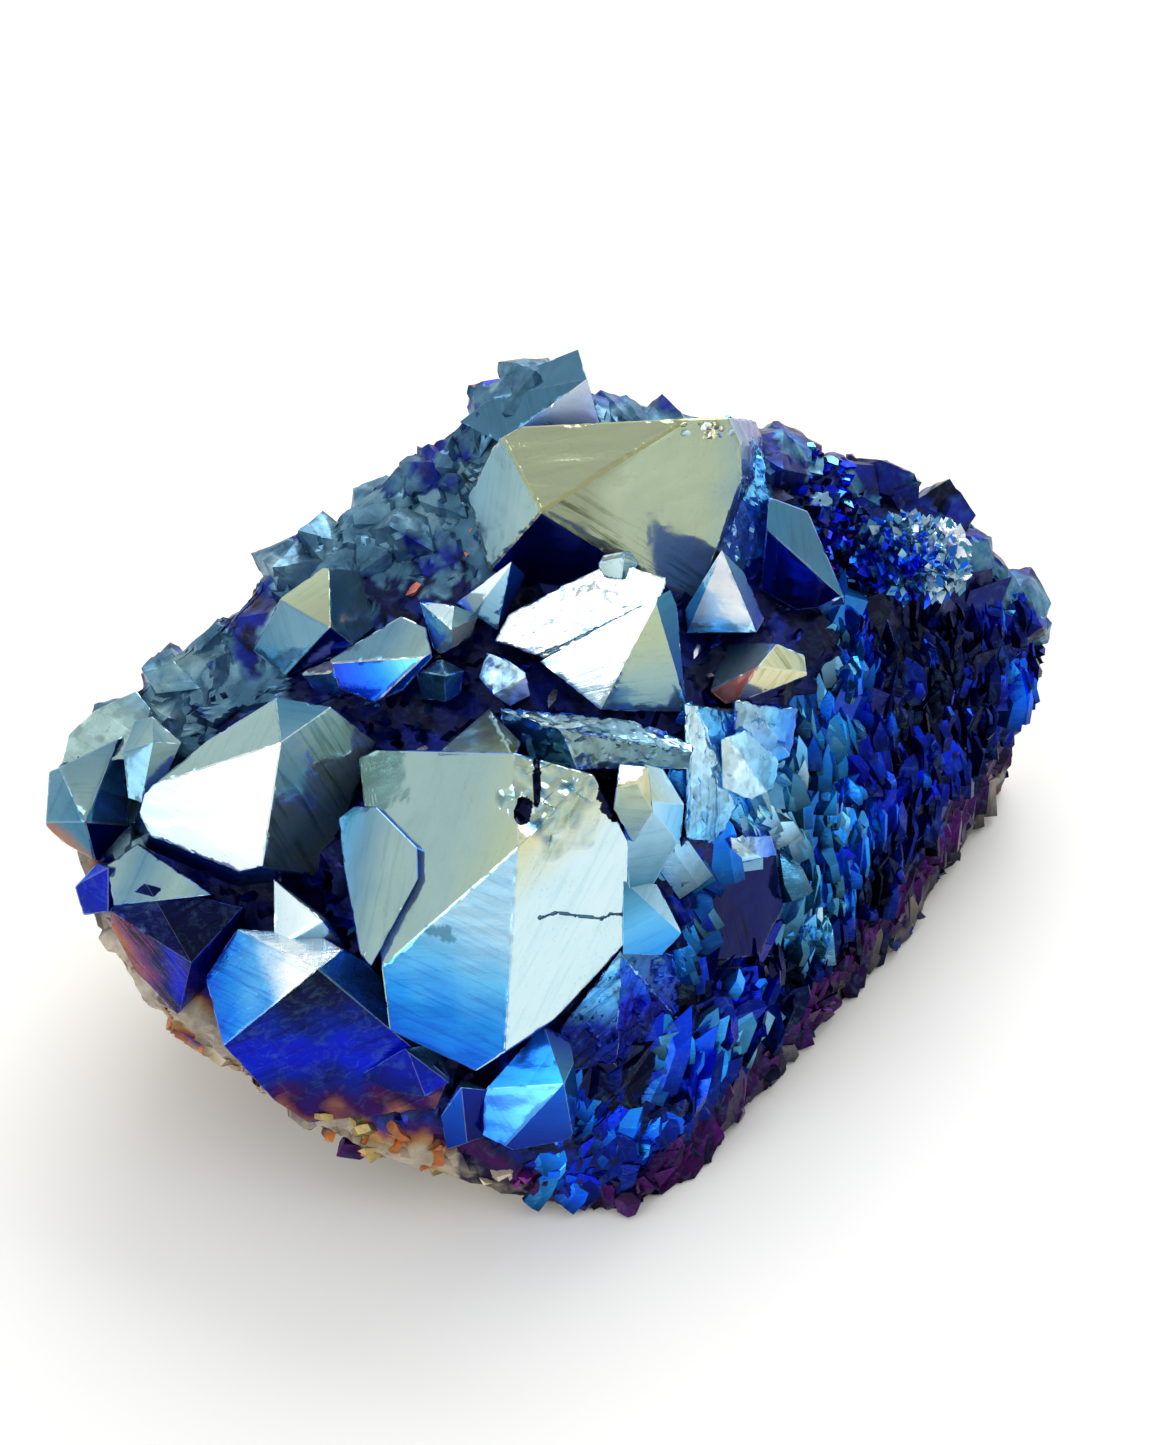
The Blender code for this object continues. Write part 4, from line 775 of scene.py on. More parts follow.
def in_oval(spot, ovals, wave):
    """Say whether a flat place lies in one of a few ovals with a wavy edge."""
    return any(((spot[0] - place[0]) / wide) ** 2 + ((spot[1] - place[1]) / tall) ** 2
               < 1.0 + wave for place, wide, tall in ovals)


# --- Working on one piece ---------------------------------------------------------------------

def only(piece):
    """Select one piece alone and make it active."""
    for other in bpy.context.selected_objects:
        other.select_set(False)
    piece.select_set(True)
    bpy.context.view_layer.objects.active = piece


def edit(piece):
    """Open a piece in edit mode with all of it selected."""
    only(piece)
    bpy.ops.object.mode_set(mode="EDIT")
    bpy.ops.mesh.select_all(action="SELECT")


def edit_chosen(piece, kind):
    """Open a piece in edit mode by its points, edges or faces, keeping what is selected."""
    only(piece)
    bpy.context.tool_settings.mesh_select_mode = kind
    bpy.ops.object.mode_set(mode="EDIT")


def close_edit():
    """Go back to object mode."""
    bpy.ops.object.mode_set(mode="OBJECT")


def cut_flat(place, direction):
    """In edit mode, cut away what lies past a plane and close the cut."""
    bpy.ops.mesh.select_all(action="SELECT")
    bpy.ops.mesh.bisect(plane_co=place, plane_no=direction, use_fill=True, clear_outer=True,
                        threshold=0.00001)


def at_origin(piece):
    """Put a piece's place, turn and scale in its mesh."""
    only(piece)
    bpy.ops.object.transform_apply(location=True, rotation=True, scale=True)


def new_primitive(name):
    """Name the primitive that was just added, and put its place and turn in its mesh."""
    piece = bpy.context.active_object
    piece.name = name
    at_origin(piece)
    return piece


def points_of(piece):
    """Give a piece's points as rows of a table."""
    points = np.empty(len(piece.data.vertices) * 3)
    piece.data.vertices.foreach_get("co", points)
    return points.reshape(-1, 3)


def normals_of(piece):
    """Give the directions of a piece's points as rows of a table."""
    normals = np.empty(len(piece.data.vertices) * 3)
    piece.data.vertices.foreach_get("normal", normals)
    return normals.reshape(-1, 3)


def put_points(piece, points):
    """Move a piece's points."""
    piece.data.vertices.foreach_set("co", np.asarray(points, dtype=np.float32).ravel())
    piece.data.update()


def refine(piece, longest, rounds, near=None):
    """Divide a piece into triangles, a few times over, where its edges are longer than a limit.

    near is an optional test of a point that keeps the work to a part of the piece.
    """
    for _ in range(rounds):
        edit(piece)
        bpy.ops.mesh.quads_convert_to_tris(quad_method="SHORTEST_DIAGONAL", ngon_method="BEAUTY")
        bpy.ops.mesh.select_all(action="DESELECT")
        close_edit()
        points = points_of(piece)
        ends = np.empty(len(piece.data.edges) * 2, dtype=np.int64)
        piece.data.edges.foreach_get("vertices", ends)
        ends = ends.reshape(-1, 2)
        lengths = np.linalg.norm(points[ends[:, 0]] - points[ends[:, 1]], axis=1)
        chosen = lengths > longest
        if near:
            middles = (points[ends[:, 0]] + points[ends[:, 1]]) / 2.0
            chosen &= np.array([near(Vector(middle)) for middle in middles])
        if not chosen.any():
            break
        piece.data.edges.foreach_set("select", chosen)
        edit_chosen(piece, EDGES)
        bpy.ops.mesh.subdivide(number_cuts=1)
        bpy.ops.mesh.select_all(action="SELECT")
        bpy.ops.mesh.quads_convert_to_tris(quad_method="SHORTEST_DIAGONAL")
        close_edit()


def corner_points(piece):
    """Give the number of the point at each corner of a piece's faces."""
    numbers = np.empty(len(piece.data.loops), dtype=np.int64)
    piece.data.loops.foreach_get("vertex_index", numbers)
    return numbers


def film_colours(piece):
    """Give the film colour at each corner of a piece."""
    colours = np.empty(len(piece.data.loops) * 4, dtype=np.float32)
    piece.data.color_attributes["film"].data.foreach_get("color", colours)
    return colours.reshape(-1, 4)


def paint(piece, colours):
    """Write one colour for each corner of a piece's faces."""
    mesh = piece.data
    layer = mesh.color_attributes.get("film")
    if layer is None:
        layer = mesh.color_attributes.new("film", "FLOAT_COLOR", "CORNER")
    layer.data.foreach_set("color", np.asarray(colours, dtype=np.float32).ravel())


def paint_points(piece, colours):
    """Give each corner the colour of its point."""
    paint(piece, np.asarray(colours)[corner_points(piece)])


def facets(place, width, depth):
    """Say how far a broken surface stands out there, and how light its flat is, -1 to 1."""
    spot = place / width
    centre = noise.voronoi(spot)[1][0]
    tilt = noise.noise_vector(centre * TILT_SEED)
    rise = depth * (tilt.dot(spot - centre) * FLAT_TILT
                    + FLAT_RISE * noise.noise(centre * RISE_SEED))
    return rise, noise.noise(centre * LIGHT_SEED)


def surface_of(piece):
    """Give a search tree over a piece's faces."""
    mesh = piece.data
    return BVHTree.FromPolygons([vert.co for vert in mesh.vertices],
                                [face.vertices[:] for face in mesh.polygons])


def dress(piece, material, crease):
    """Bring a finished piece into the frame, smooth it, give it its finish, hang it on the body and
    hide the part that it stands for.
    """
    points = (points_of(piece) + np.array(ORIGIN_SHIFT)) * MILLIMETRE
    put_points(piece, np.clip(points, np.array(CAD_LOW), np.array(CAD_HIGH)))
    only(piece)
    bpy.ops.object.shade_smooth_by_angle(angle=math.radians(crease))
    piece.data.materials.clear()
    piece.data.materials.append(material)
    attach(piece, BODY)
    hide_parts(NODE)


def join(name, parts):
    """Join many small parts in one piece."""
    only(parts[0])
    for part in parts:
        part.select_set(True)
    bpy.ops.object.join()
    piece = bpy.context.view_layer.objects.active
    piece.name = name
    return piece


def copy_of(template, matrix, tint):
    """Copy a template with its own mesh, put it in place and tint it."""
    mesh = template.data.copy()
    mesh.transform(matrix)
    part = bpy.data.objects.new(template.name, mesh)
    bpy.context.scene.collection.objects.link(part)
    layer = mesh.color_attributes["film"]
    shade = np.empty(len(mesh.loops) * 4, dtype=np.float32)
    layer.data.foreach_get("color", shade)
    layer.data.foreach_set("color", (shade.reshape(-1, 4) * tint).astype(np.float32).ravel())
    return part


def drop(pieces):
    """Remove pieces that were only made to be copied."""
    for piece in pieces:
        bpy.data.objects.remove(piece, do_unlink=True)


# --- Materials --------------------------------------------------------------------------------

def feed(tree, socket, value):
    """Feed a socket from another node's output, or set its plain value."""
    if isinstance(value, bpy.types.NodeSocket):
        tree.links.new(value, socket)
    else:
        socket.default_value = value


def node(tree, kind, **values):
    """Add a node, set its values and feed its inputs (in_NAME), and give its outputs."""
    made = tree.nodes.new(kind)
    for key, value in values.items():
        if key.startswith("in_"):
            feed(tree, made.inputs[key[3:].replace("_", " ")], value)
        else:
            setattr(made, key, value)
    return made.outputs


def maths(tree, operation, *values):
    """Join two values by a sum, and give the result."""
    made = tree.nodes.new("ShaderNodeMath")
    made.operation = operation
    for socket, value in zip(made.inputs, values):
        feed(tree, socket, value)
    return made.outputs[0]


def mix(tree, factor, colour, other):
    """Mix a colour with another by a factor, and give the mixed colour."""
    made = tree.nodes.new("ShaderNodeMix")
    made.data_type = "RGBA"
    for socket, value in ((made.inputs["Factor"], factor), (made.inputs[6], colour),
                          (made.inputs[7], other)):
        feed(tree, socket, value)
    return made.outputs[2]


def map_range(tree, value, low, high, start=0.0, end=1.0):
    """Spread a value's range from low to high over the range from start to end."""
    return node(tree, "ShaderNodeMapRange", in_Value=value, in_From_Min=low, in_From_Max=high,
                in_To_Min=start, in_To_Max=end)["Result"]


def clouds(tree, place, scale, detail, rough, wander):
    """Give a noise with its scale, detail, roughness and distortion."""
    return node(tree, "ShaderNodeTexNoise", in_Vector=place, in_Scale=scale, in_Detail=detail,
                in_Roughness=rough, in_Distortion=wander)["Fac"]


def group(name, inputs, outputs):
    """Start a shader node group from its inputs with their usual values, and its outputs."""
    tree = bpy.data.node_groups.new(name, "ShaderNodeTree")
    for label, value in inputs.items():
        socket = tree.interface.new_socket(label, in_out="INPUT",
                                           socket_type=SOCKETS.get(label, "NodeSocketFloat"))
        if value is not None:
            socket.default_value = value
    for label in outputs:
        tree.interface.new_socket(label, in_out="OUTPUT",
                                  socket_type=SOCKETS.get(label, "NodeSocketFloat"))
    return (tree, tree.nodes.new("NodeGroupInput").outputs,
            tree.nodes.new("NodeGroupOutput").inputs)


def mottle_group():
    """Clouds of thicker and thinner film, with dark specks and pale bloom, over a colour."""
    tree, ins, outs = group("film_mottle", {"Colour": None, "Place": None, "Scale": 220.0,
                                            "Strength": 0.3, "Specks": 0.2, "Bloom": 0.0},
                            ("Colour", "Mask"))
    cloud = clouds(tree, ins["Place"], ins["Scale"], 5.0, 0.62, 0.6)
    mask = map_range(tree, cloud, 0.36, 0.68)
    deeper = node(tree, "ShaderNodeGamma", in_Color=ins["Colour"], in_Gamma=MOTTLE_DEPTH)[0]
    mottled = mix(tree, maths(tree, "MULTIPLY", mask, ins["Strength"]), ins["Colour"], deeper)
    cells = node(tree, "ShaderNodeTexVoronoi", in_Vector=ins["Place"], in_Scale=SPECK_SCALE,
                 in_Randomness=1.0)
    specks = maths(tree, "MULTIPLY", map_range(tree, cells["Distance"], 0.10, 0.22, 1.0, 0.0),
                   ins["Specks"])
    specked = mix(tree, maths(tree, "MULTIPLY", specks, mask), mottled, SPECK_COLOUR)
    haze = clouds(tree, ins["Place"], BLOOM_SCALE, 6.0, 0.7, 1.4)
    bloom = maths(tree, "MULTIPLY", map_range(tree, haze, 0.5, 0.68), ins["Bloom"])
    feed(tree, outs["Colour"], mix(tree, bloom, specked, BLOOM_COLOUR))
    feed(tree, outs["Mask"], mask)


def growth_group():
    """Growth lines across the bed's up direction, with hillocks and pits, as a height."""
    tree, ins, outs = group("growth_marks", {"Place": None, "Lines": 1.0, "Pits": 1.0},
                            ("Height",))
    turned = node(tree, "ShaderNodeMapping", in_Vector=ins["Place"], in_Rotation=GROWTH_TURN,
                  in_Scale=GROWTH_SCALE)[0]
    lines = maths(tree, "MULTIPLY", clouds(tree, turned, 1.0, 3.0, 0.55, 0.4), ins["Lines"])
    cells = node(tree, "ShaderNodeTexVoronoi", feature="SMOOTH_F1", in_Vector=ins["Place"],
                 in_Scale=PIT_SCALE)
    pits = maths(tree, "MULTIPLY", cells["Distance"], ins["Pits"])
    feed(tree, outs["Height"], maths(tree, "ADD", lines, pits))


def streak_group():
    """Fine lines along a face's own growth coordinates, as an amount from 0 to 1."""
    tree, ins, outs = group("growth_streaks", {"Growth": None}, ("Amount",))
    split = node(tree, "ShaderNodeSeparateXYZ", in_Vector=ins["Growth"])
    along = node(tree, "ShaderNodeCombineXYZ",
                 in_X=maths(tree, "MULTIPLY", split["X"], STREAK_SLOW),
                 in_Y=maths(tree, "MULTIPLY", split["Y"], STREAK_FAST))[0]
    lines = map_range(tree, clouds(tree, along, 1.0, 4.0, 0.6, 0.35), 0.5, 0.66)
    feed(tree, outs["Amount"], maths(tree, "MULTIPLY", lines, split["Z"]))


def film_material(name, rough, metal, mottle, marks):
    """Make quartz under a metal film: mottled in tone, and marked by its growth."""
    scale, strength, specks, bloom = mottle
    lines, pits, height = marks
    groups = bpy.data.node_groups
    material = bpy.data.materials.new(name)
    material.use_nodes = True
    tree = material.node_tree
    shader = tree.nodes["Principled BSDF"].inputs
    place = node(tree, "ShaderNodeTexCoord")["Object"]
    colour = node(tree, "ShaderNodeAttribute", attribute_name="film")
    mottled = node(tree, "ShaderNodeGroup", node_tree=groups["film_mottle"],
                   in_Colour=colour["Color"], in_Place=place, in_Scale=scale,
                   in_Strength=strength, in_Specks=specks, in_Bloom=bloom)
    growth = node(tree, "ShaderNodeAttribute", attribute_name="growth")["Vector"]
    streaks = node(tree, "ShaderNodeGroup", node_tree=groups["growth_streaks"],
                   in_Growth=growth)["Amount"]
    deeper = node(tree, "ShaderNodeGamma", in_Color=mottled["Colour"], in_Gamma=STREAK_DEPTH)[0]
    relief = node(tree, "ShaderNodeGroup", node_tree=groups["growth_marks"], in_Place=place,
                  in_Lines=lines, in_Pits=pits)["Height"]
    bump = node(tree, "ShaderNodeBump", in_Strength=height, in_Distance=BUMP_HEIGHT,
                in_Height=maths(tree, "SUBTRACT", relief, streaks))
    for socket, value in (
            ("Base Color", mix(tree, streaks, mottled["Colour"], deeper)),
            ("Roughness", map_range(tree, mottled["Mask"], 0.0, 1.0, *rough)),
            ("Metallic", maths(tree, "MULTIPLY", colour["Alpha"], metal)),
            ("Normal", bump["Normal"])):
        feed(tree, shader[socket], value)
    return material


def make_materials():
    """Make the shared groups and every finish, and give the finishes by name."""
    mottle_group()
    growth_group()
    streak_group()
    return {key: film_material(*values) for key, values in FINISHES.items()}


# --- The rock ---------------------------------------------------------------------------------

def rough_block():
    """Shape the broken block at its coarse size: a hull of its corners, roughened and cut."""
    corners = [on_bed(corner) for corner in FRONT_CORNERS + BED_CORNERS]
    corners += [Vector(corner) for corner in BACK_CORNERS]
    corners += [Vector((x, y, -FOOT_STOCK)) for x, y in FOOT_CORNERS]
    mesh = bpy.data.meshes.new("broken_rock")
    mesh.from_pydata(corners, [], [])
    rock = bpy.data.objects.new("broken_rock", mesh)
    bpy.context.scene.collection.objects.link(rock)
    bpy.context.tool_settings.mesh_select_mode = POINTS
    edit(rock)
    bpy.ops.mesh.convex_hull()
    close_edit()
    refine(rock, COARSE_EDGE, COARSE_ROUNDS)
    points, normals = points_of(rock), normals_of(rock)
    heights = [noise.fractal(Vector(point) / ROCK_GRAIN, *ROCK_WAVES) for point in points]
    put_points(rock, points + normals * ROCK_RELIEF * np.array(heights)[:, None])
    edit(rock)
    cut_flat((0.0, 0.0, 0.0), (0.0, 0.0, -1.0))
    close_edit()
    return rock


def between(steps, value):
    """Read a tone from a row of (value, tone) steps."""
    if value <= steps[0][0]:
        return film(steps[0][1])
    for (low, near), (high, far) in zip(steps, steps[1:]):
        if value < high:
            share = (value - low) / (high - low)
            return film(near) * (1.0 - share) + film(far) * share
    return film(steps[-1][1])


def rock_tone(spot, normal, shade):
    """Give the film on broken rock: by its place on the bed, and thin where it faces away; between
    the crystals and under the blades it is painted dark, as shade.
    """
    place = BED.transposed() @ spot
    cloud = noise.fractal(spot / CLOUD_WIDTH, *CLOUD_WAVES)
    facing = normal.dot(OUT)
    front = distance_to(FRONT_RIM, place)
    if facing > FACES_OUT and place.x < BARE_END and front < FRONT_EDGE[-1][0] + FRONT_WAVE * cloud:
        return between(FRONT_EDGE, front - FRONT_WAVE * cloud + EDGE_SHADE * shade)
    if facing > FACES_OUT and place.x >= BARE_END:
        edge = min(front, distance_to(LOW_RIM, place))
        if edge < LOW_EDGE[-1][0] + LOW_WAVE * cloud:
            return between(LOW_EDGE, edge - LOW_WAVE * cloud + EDGE_SHADE * shade)
    turned = TURNED_INSIDE if inside(place, BED_RING) else TURNED_OUTSIDE
    if facing < turned + TURN_WAVE * cloud:
        steps = LOW_SIDE if place.x > LOW_SIDE_START + SIDE_WAVE * cloud else UNDERSIDE
        return between(steps, facing + FILM_WAVE * cloud + FILM_SHADE * shade
                       - FOOT_BARE * max(0.0, 1.0 - spot.z / FOOT_REACH))
    if place.x < RIM_REACH and distance_to(BACK_RIM, place) < RIM_WIDTH + RIM_WAVE * cloud:
        return between(RIM_ROCK, shade + FILM_WAVE * cloud)
    # painted shade: dark rock under the blades and in the crevices
    if inside(place[:2], BLADE_WALL):
        return between(WALL_ROCK_SHADE, shade)
    return between(CREVICE_SHADE, shade)


def two_flats(spot, width, depth, smaller):
    """Say how far large and small flats together stand out there, and how light each is."""
    large, light = facets(spot, width, depth)
    small, glint = facets(spot, width * smaller[0], depth * smaller[1])
    return large + small, light, glint


def roughen(piece, width, depth):
    """Break a surface into tilted flats at two sizes, keep its foot, and give each flat's shade."""
    moved, shades = [], []
    for point, normal in zip(points_of(piece), normals_of(piece)):
        spot = Vector(point)
        rise, light, glint = two_flats(spot, width, depth, SMALL_FLATS)
        shades.append((1.0 - SMALL_SHADE) * light + SMALL_SHADE * glint)
        if spot.z > FOOT_FLAT:
            spot += Vector(normal) * rise
            spot.z = max(spot.z, FOOT_LEAST)
        moved.append(tuple(spot))
    put_points(piece, np.array(moved))
    return shades


def finish_rock(piece, width, depth, tone_at):
    """Break a piece's surface and paint it by the place and direction of its first shape."""
    rows = list(zip(points_of(piece), normals_of(piece)))
    shades = roughen(piece, width, depth)
    paint_points(piece, [tone_at(Vector(point), Vector(normal), shade)
                         for (point, normal), shade in zip(rows, shades)])


# --- Crystals ---------------------------------------------------------------------------------

def crystal(name, grain):
    """Cut one crystal from a block with its flat faces, wear its edges and paint its film."""
    shape = CRYSTALS[name]
    tip, ridges, outline = Vector(shape["tip"]), shape["ridges"], shape["outline"]
    rim = sum(end[2] for end in ridges) / len(ridges)
    axis = Vector((*shape.get("lean", (0.0, 0.0)), 1.0))
    corners = [Vector((*outline[i], rim))
               for i in convex_hull_2d([Vector(corner) for corner in outline])]
    bpy.ops.mesh.primitive_cube_add(
        size=BLOCK_STOCK, location=(tip.x, tip.y, shape["root"] + BLOCK_STOCK / 2))
    piece = new_primitive(name)
    edit(piece)
    roof, sides = [], []
    for here, there in zip(corners, corners[1:] + corners[:1]):
        way = (there - here).cross(axis).normalized()
        cut_flat(here, way)
        sides.append((here, way))
    for here, there in zip(ridges, ridges[1:]):
        way = (Vector(here) - tip).cross(Vector(there) - tip).normalized()
        way = way if way.z > 0.0 else -way
        cut_flat(tip, way)
        roof.append((tip, way))
    bpy.ops.mesh.select_all(action="SELECT")
    bpy.ops.mesh.bevel(offset=WIDE_RIDGES.get(name, bpy.context.scene.aura_crystals.edge),
                       segments=1, affect="EDGES", clamp_overlap=True)
    close_edit()
    refine(piece, grain, CRYSTAL_ROUNDS)
    paint_crystal(piece, name, tip, rim, roof, sides)
    wear(piece, roof + sides)
    if name in CRUSTS:
        crust(piece, *CRUSTS[name])
    if name in CRACKS:
        break_faces(piece, name, rim)
    piece.data.transform(BED.to_4x4())
    return piece


def along_row(tones, share):
    """Read a row of evenly spaced tones at shares from 0 to 1."""
    row = np.array([film(name) for name in tones.split()])
    place = np.clip(share, 0.0, 1.0) * (len(row) - 1)
    low = np.minimum(place.astype(int), len(row) - 2)
    part = (place - low)[:, None]
    return row[low] * (1.0 - part) + row[low + 1] * part


def face_owners(piece):
    """Give each face's direction, and the number of the face at each corner."""
    mesh = piece.data
    count = len(mesh.polygons)
    normals, totals = np.empty(count * 3), np.empty(count, dtype=np.int64)
    mesh.polygons.foreach_get("normal", normals)
    mesh.polygons.foreach_get("loop_total", totals)
    return normals.reshape(-1, 3), np.repeat(np.arange(count), totals)


def paint_crystal(piece, name, tip, rim, roof, sides):
    """Run each face through its row of tones, paint a highlight on its worn ridges, and lay out its
    growth lines.
    """
    spots = points_of(piece)[corner_points(piece)]
    normals, owner = face_owners(piece)
    planes, rows = roof + sides, FACES[name].split("|")
    match = normals @ np.array([way for _, way in planes]).T
    nearest = match.argmax(axis=1)[owner]
    worn = (match.max(axis=1) < FLAT_FACE)[owner]
    colours, growth = np.zeros((len(spots), 4)), np.zeros((len(spots), 3))
    warp = np.array([noise.noise(Vector(spot) * WARP_GRAIN) for spot in spots])
    for index, (_, way) in enumerate(planes):
        corner = nearest == index
        if not corner.any():
            continue
        if index < len(roof):
            away = spots[corner] - np.array(tip)
            flat = ~worn[corner]
            down = Vector(away[flat].mean(axis=0) if flat.any() else away.mean(axis=0)).normalized()
            share = away @ np.array(down)
            share = share / max(share.max(), 1e-6) + WARP.get(name, USUAL_WARP) * warp[corner]
            colours[corner] = along_row(rows[index], share)
            slant, amount, *ridge = STREAKS.get((name, index), USUAL_STREAK)
            if ridge:
                end = np.array(CRYSTALS[name]["ridges"][ridge[0]]) - np.array(tip)
                off = away - np.outer(away @ end / (end @ end), end)
                amount *= np.clip(STREAK_START - np.linalg.norm(off, axis=1) / STREAK_REACH,
                                  0.0, 1.0)
        else:
            down = Vector((0.0, 0.0, -1.0))
            share = (rim - spots[corner][:, 2]) / SIDE_REACH + SIDE_WARP * warp[corner]
            colours[corner] = along_row(SIDES.get(name, DEEP_SIDES), share)
            slant, amount = 0.0, SIDE_STREAK
        level = Matrix.Rotation(math.radians(slant), 3, way) @ down.cross(way)
        growth[corner, 0] = spots[corner] @ np.array(level)
        growth[corner, 1] = spots[corner] @ np.array(level.cross(way))
        growth[corner, 2] = amount
    # worn ridges high on the roof are paled, a painted highlight, with the crystal's ridge tone
    # where it has one
    high = worn & (spots[:, 2] > rim - RIDGE_HIGHLIGHT_REACH)
    ridge = film(RIDGE_TONES.get(name, "frost"))[:3]
    share = RIDGE_SHARE if name in RIDGE_TONES else USUAL_RIDGE_HIGHLIGHT
    colours[high, :3] = colours[high, :3] * (1.0 - share) + ridge * share
    growth[worn, 2] = 0.0
    paint(piece, colours)
    layer = piece.data.attributes.new("growth", "FLOAT_VECTOR", "CORNER")
    layer.data.foreach_set("vector", growth.astype(np.float32).ravel())


def wear(piece, planes):
    """Raise low growth steps on the faces of a crystal, and nick its edges."""
    sizes = bpy.context.scene.aura_crystals
    points, normals = points_of(piece), normals_of(piece)
    flat = (normals @ np.array([way for _, way in planes]).T).max(axis=1) > FLAT_POINT
    rise = np.zeros(len(points))
    for number, point in enumerate(points):
        spot = Vector(point)
        if flat[number]:
            wave = noise.fractal(Vector([part * grain for part, grain in zip(spot, STEP_GRAIN)]),
                                 *STEP_WAVES)
            rise[number] = sizes.step * (math.floor(wave * STEP_COUNT) / STEP_COUNT
                                         + STEP_SLOPE * wave)
        else:
            rise[number] = -sizes.nick * max(0.0, noise.noise(spot * NICK_GRAIN) - NICK_START)
    put_points(piece, points + normals * rise[:, None])


def crust(piece, width, depth):
    """Break the faces of a crystal into low flats of uneven lightness."""
    points, normals, numbers = points_of(piece), normals_of(piece), corner_points(piece)
    shades = np.ones(len(points))
    for number, point in enumerate(points):
        rise, light, glint = two_flats(Vector(point), width, depth, CRUST_FLATS)
        points[number] += normals[number] * rise
        shades[number] += CRUST_SHADES[0] * light + CRUST_SHADES[1] * glint
    put_points(piece, points)
    colours = film_colours(piece)
    colours[:, :3] = np.clip(colours[:, :3] * shades[numbers][:, None], 0.0, 1.0)
    paint(piece, colours)


def chip_share(spot):
    """Say how near a place is to the middle of the hero's chip: 1 is its ragged edge."""
    wobble = noise.noise(Vector((spot.x, spot.y, 3.0)) * CHIP_GRAIN)
    return (spot.xy - Vector(CHIP_PLACE)).length / CHIP_RADIUS + CHIP_RAGGED * wobble


def break_faces(piece, name, rim):
    """Crack a crystal's roof, and break a glassy hollow beside the hero's tip, with pits painted
    ink as their shade.
    """
    crack, chipped = [Vector(corner) for corner in CRACKS[name]], name == "hero"

    def near(spot):
        return spot.z > rim - BREAK_REACH and (distance_to(crack, spot) < 2.0 * CRACK_WIDTH
                                               or chipped and chip_share(spot) < 1.2)

    refine(piece, BREAK_GRAIN, 2, near)
    points, numbers, colours = points_of(piece), corner_points(piece), film_colours(piece)
    change, mixed = {}, {}
    for number, point in enumerate(points):
        spot = Vector(point)
        if spot.z < rim - BREAK_REACH:
            continue
        share = chip_share(spot)
        if chipped and share < 1.0:
            rise, shade = facets(Vector((spot.x, spot.y, 0.0)), *CHIP_FLATS)
            wave = noise.noise(spot * 0.7)
            deep = min(1.0, 2.0 * (1.0 - share))
            points[number][2] += deep * (min(0.0, rise + 0.5 * wave - CHIP_BED) - CHIP_DEPTH)
            change[number] = between(CHIP_STEPS, 0.5 * shade + 0.6 * wave)
            mixed[number] = min(1.0, CHIP_BLEND * (1.0 - share))
        elif distance_to(crack, spot) < CRACK_WIDTH * (0.6 + noise.noise(spot * 1.7)):
            points[number][2] -= CRACK_DEPTH
            change[number] = film("slate")
        wave = 0.7 * noise.noise(spot * 0.9)
        # a pit is sunk and painted ink: painted shade in the hollow
        if chipped and in_oval(spot, INK_SHADED_PITS, wave):
            points[number][2] -= PIT_DEPTH
            change[number], mixed[number] = film("ink"), 1.0
        elif chipped and in_oval(spot, SMUDGES, 2.0 * wave):
            change[number], mixed[number] = film("teal"), SMUDGE_SHARE
    put_points(piece, points)
    for corner, number in enumerate(numbers):
        if number in change:
            share = mixed.get(number, 1.0)
            colours[corner] = colours[corner] * (1.0 - share) + change[number] * share
    paint(piece, colours)


# --- Blades and shards ------------------------------------------------------------------------

def shade_up(piece, dice):
    """Paint each flat of a template its own light and shade, with painted shade towards the root.
    """
    heights = points_of(piece)[corner_points(piece)][:, 2]
    lights = [dice.uniform(*FLAT_LIGHT) for _ in piece.data.polygons]
    lights = np.repeat(lights, [face.loop_total for face in piece.data.polygons])
    colours = np.ones((len(heights), 4))
    colours[:, :3] = (lights * np.interp(heights, *zip(*ROOT_LIGHT)))[:, None]
    paint(piece, colours)


def shard_templates(count):
    """Cut a few small crystals, one unit long, each with its own uneven point."""
    dice = random.Random(29)
    templates = []
    for number in range(count):
        bpy.ops.mesh.primitive_cylinder_add(vertices=SHARD_SIDES, radius=0.5, depth=1.0,
                                            location=(0.0, 0.0, 0.5))
        piece = new_primitive(f"shard_{number}")
        edit(piece)
        for turn in range(3):
            angle = math.tau * turn / 3.0 + dice.uniform(-0.5, 0.5)
            way = Vector((math.cos(angle), math.sin(angle), dice.uniform(*SHARD_SLOPES)))
            cut_flat((0.0, 0.0, dice.uniform(*SHARD_POINTS)), way)
        close_edit()
        shade_up(piece, dice)
        templates.append(piece)
    return templates


def flake_templates(count):
    """Make a few thin broken flakes, one unit long, each with its own ragged outline."""
    dice = random.Random(41)
    templates = []
    for number in range(count):
        bpy.ops.mesh.primitive_cylinder_add(vertices=FLAKE_SIDES, radius=0.5, depth=1.0,
                                            rotation=(math.pi / 2.0, 0.0, 0.0))
        piece = new_primitive(f"flake_{number}")
        stretch = [dice.uniform(*FLAKE_STRETCH) for _ in range(FLAKE_SIDES)]
        for place, vert in enumerate(piece.data.vertices):
            vert.co.x *= stretch[place // 2]
            vert.co.z = 0.5 + vert.co.z * stretch[(place // 2 + 3) % FLAKE_SIDES]
        edit(piece)
        for _ in range(2):
            way = Vector((dice.uniform(-0.8, 0.8), -1.0, dice.uniform(-0.7, 0.9)))
            cut_flat((0.0, dice.uniform(-0.3, -0.1), 0.5), way)
            cut_flat((0.0, dice.uniform(0.1, 0.3), 0.5), -way)
        close_edit()
        shade_up(piece, dice)
        templates.append(piece)
    return templates


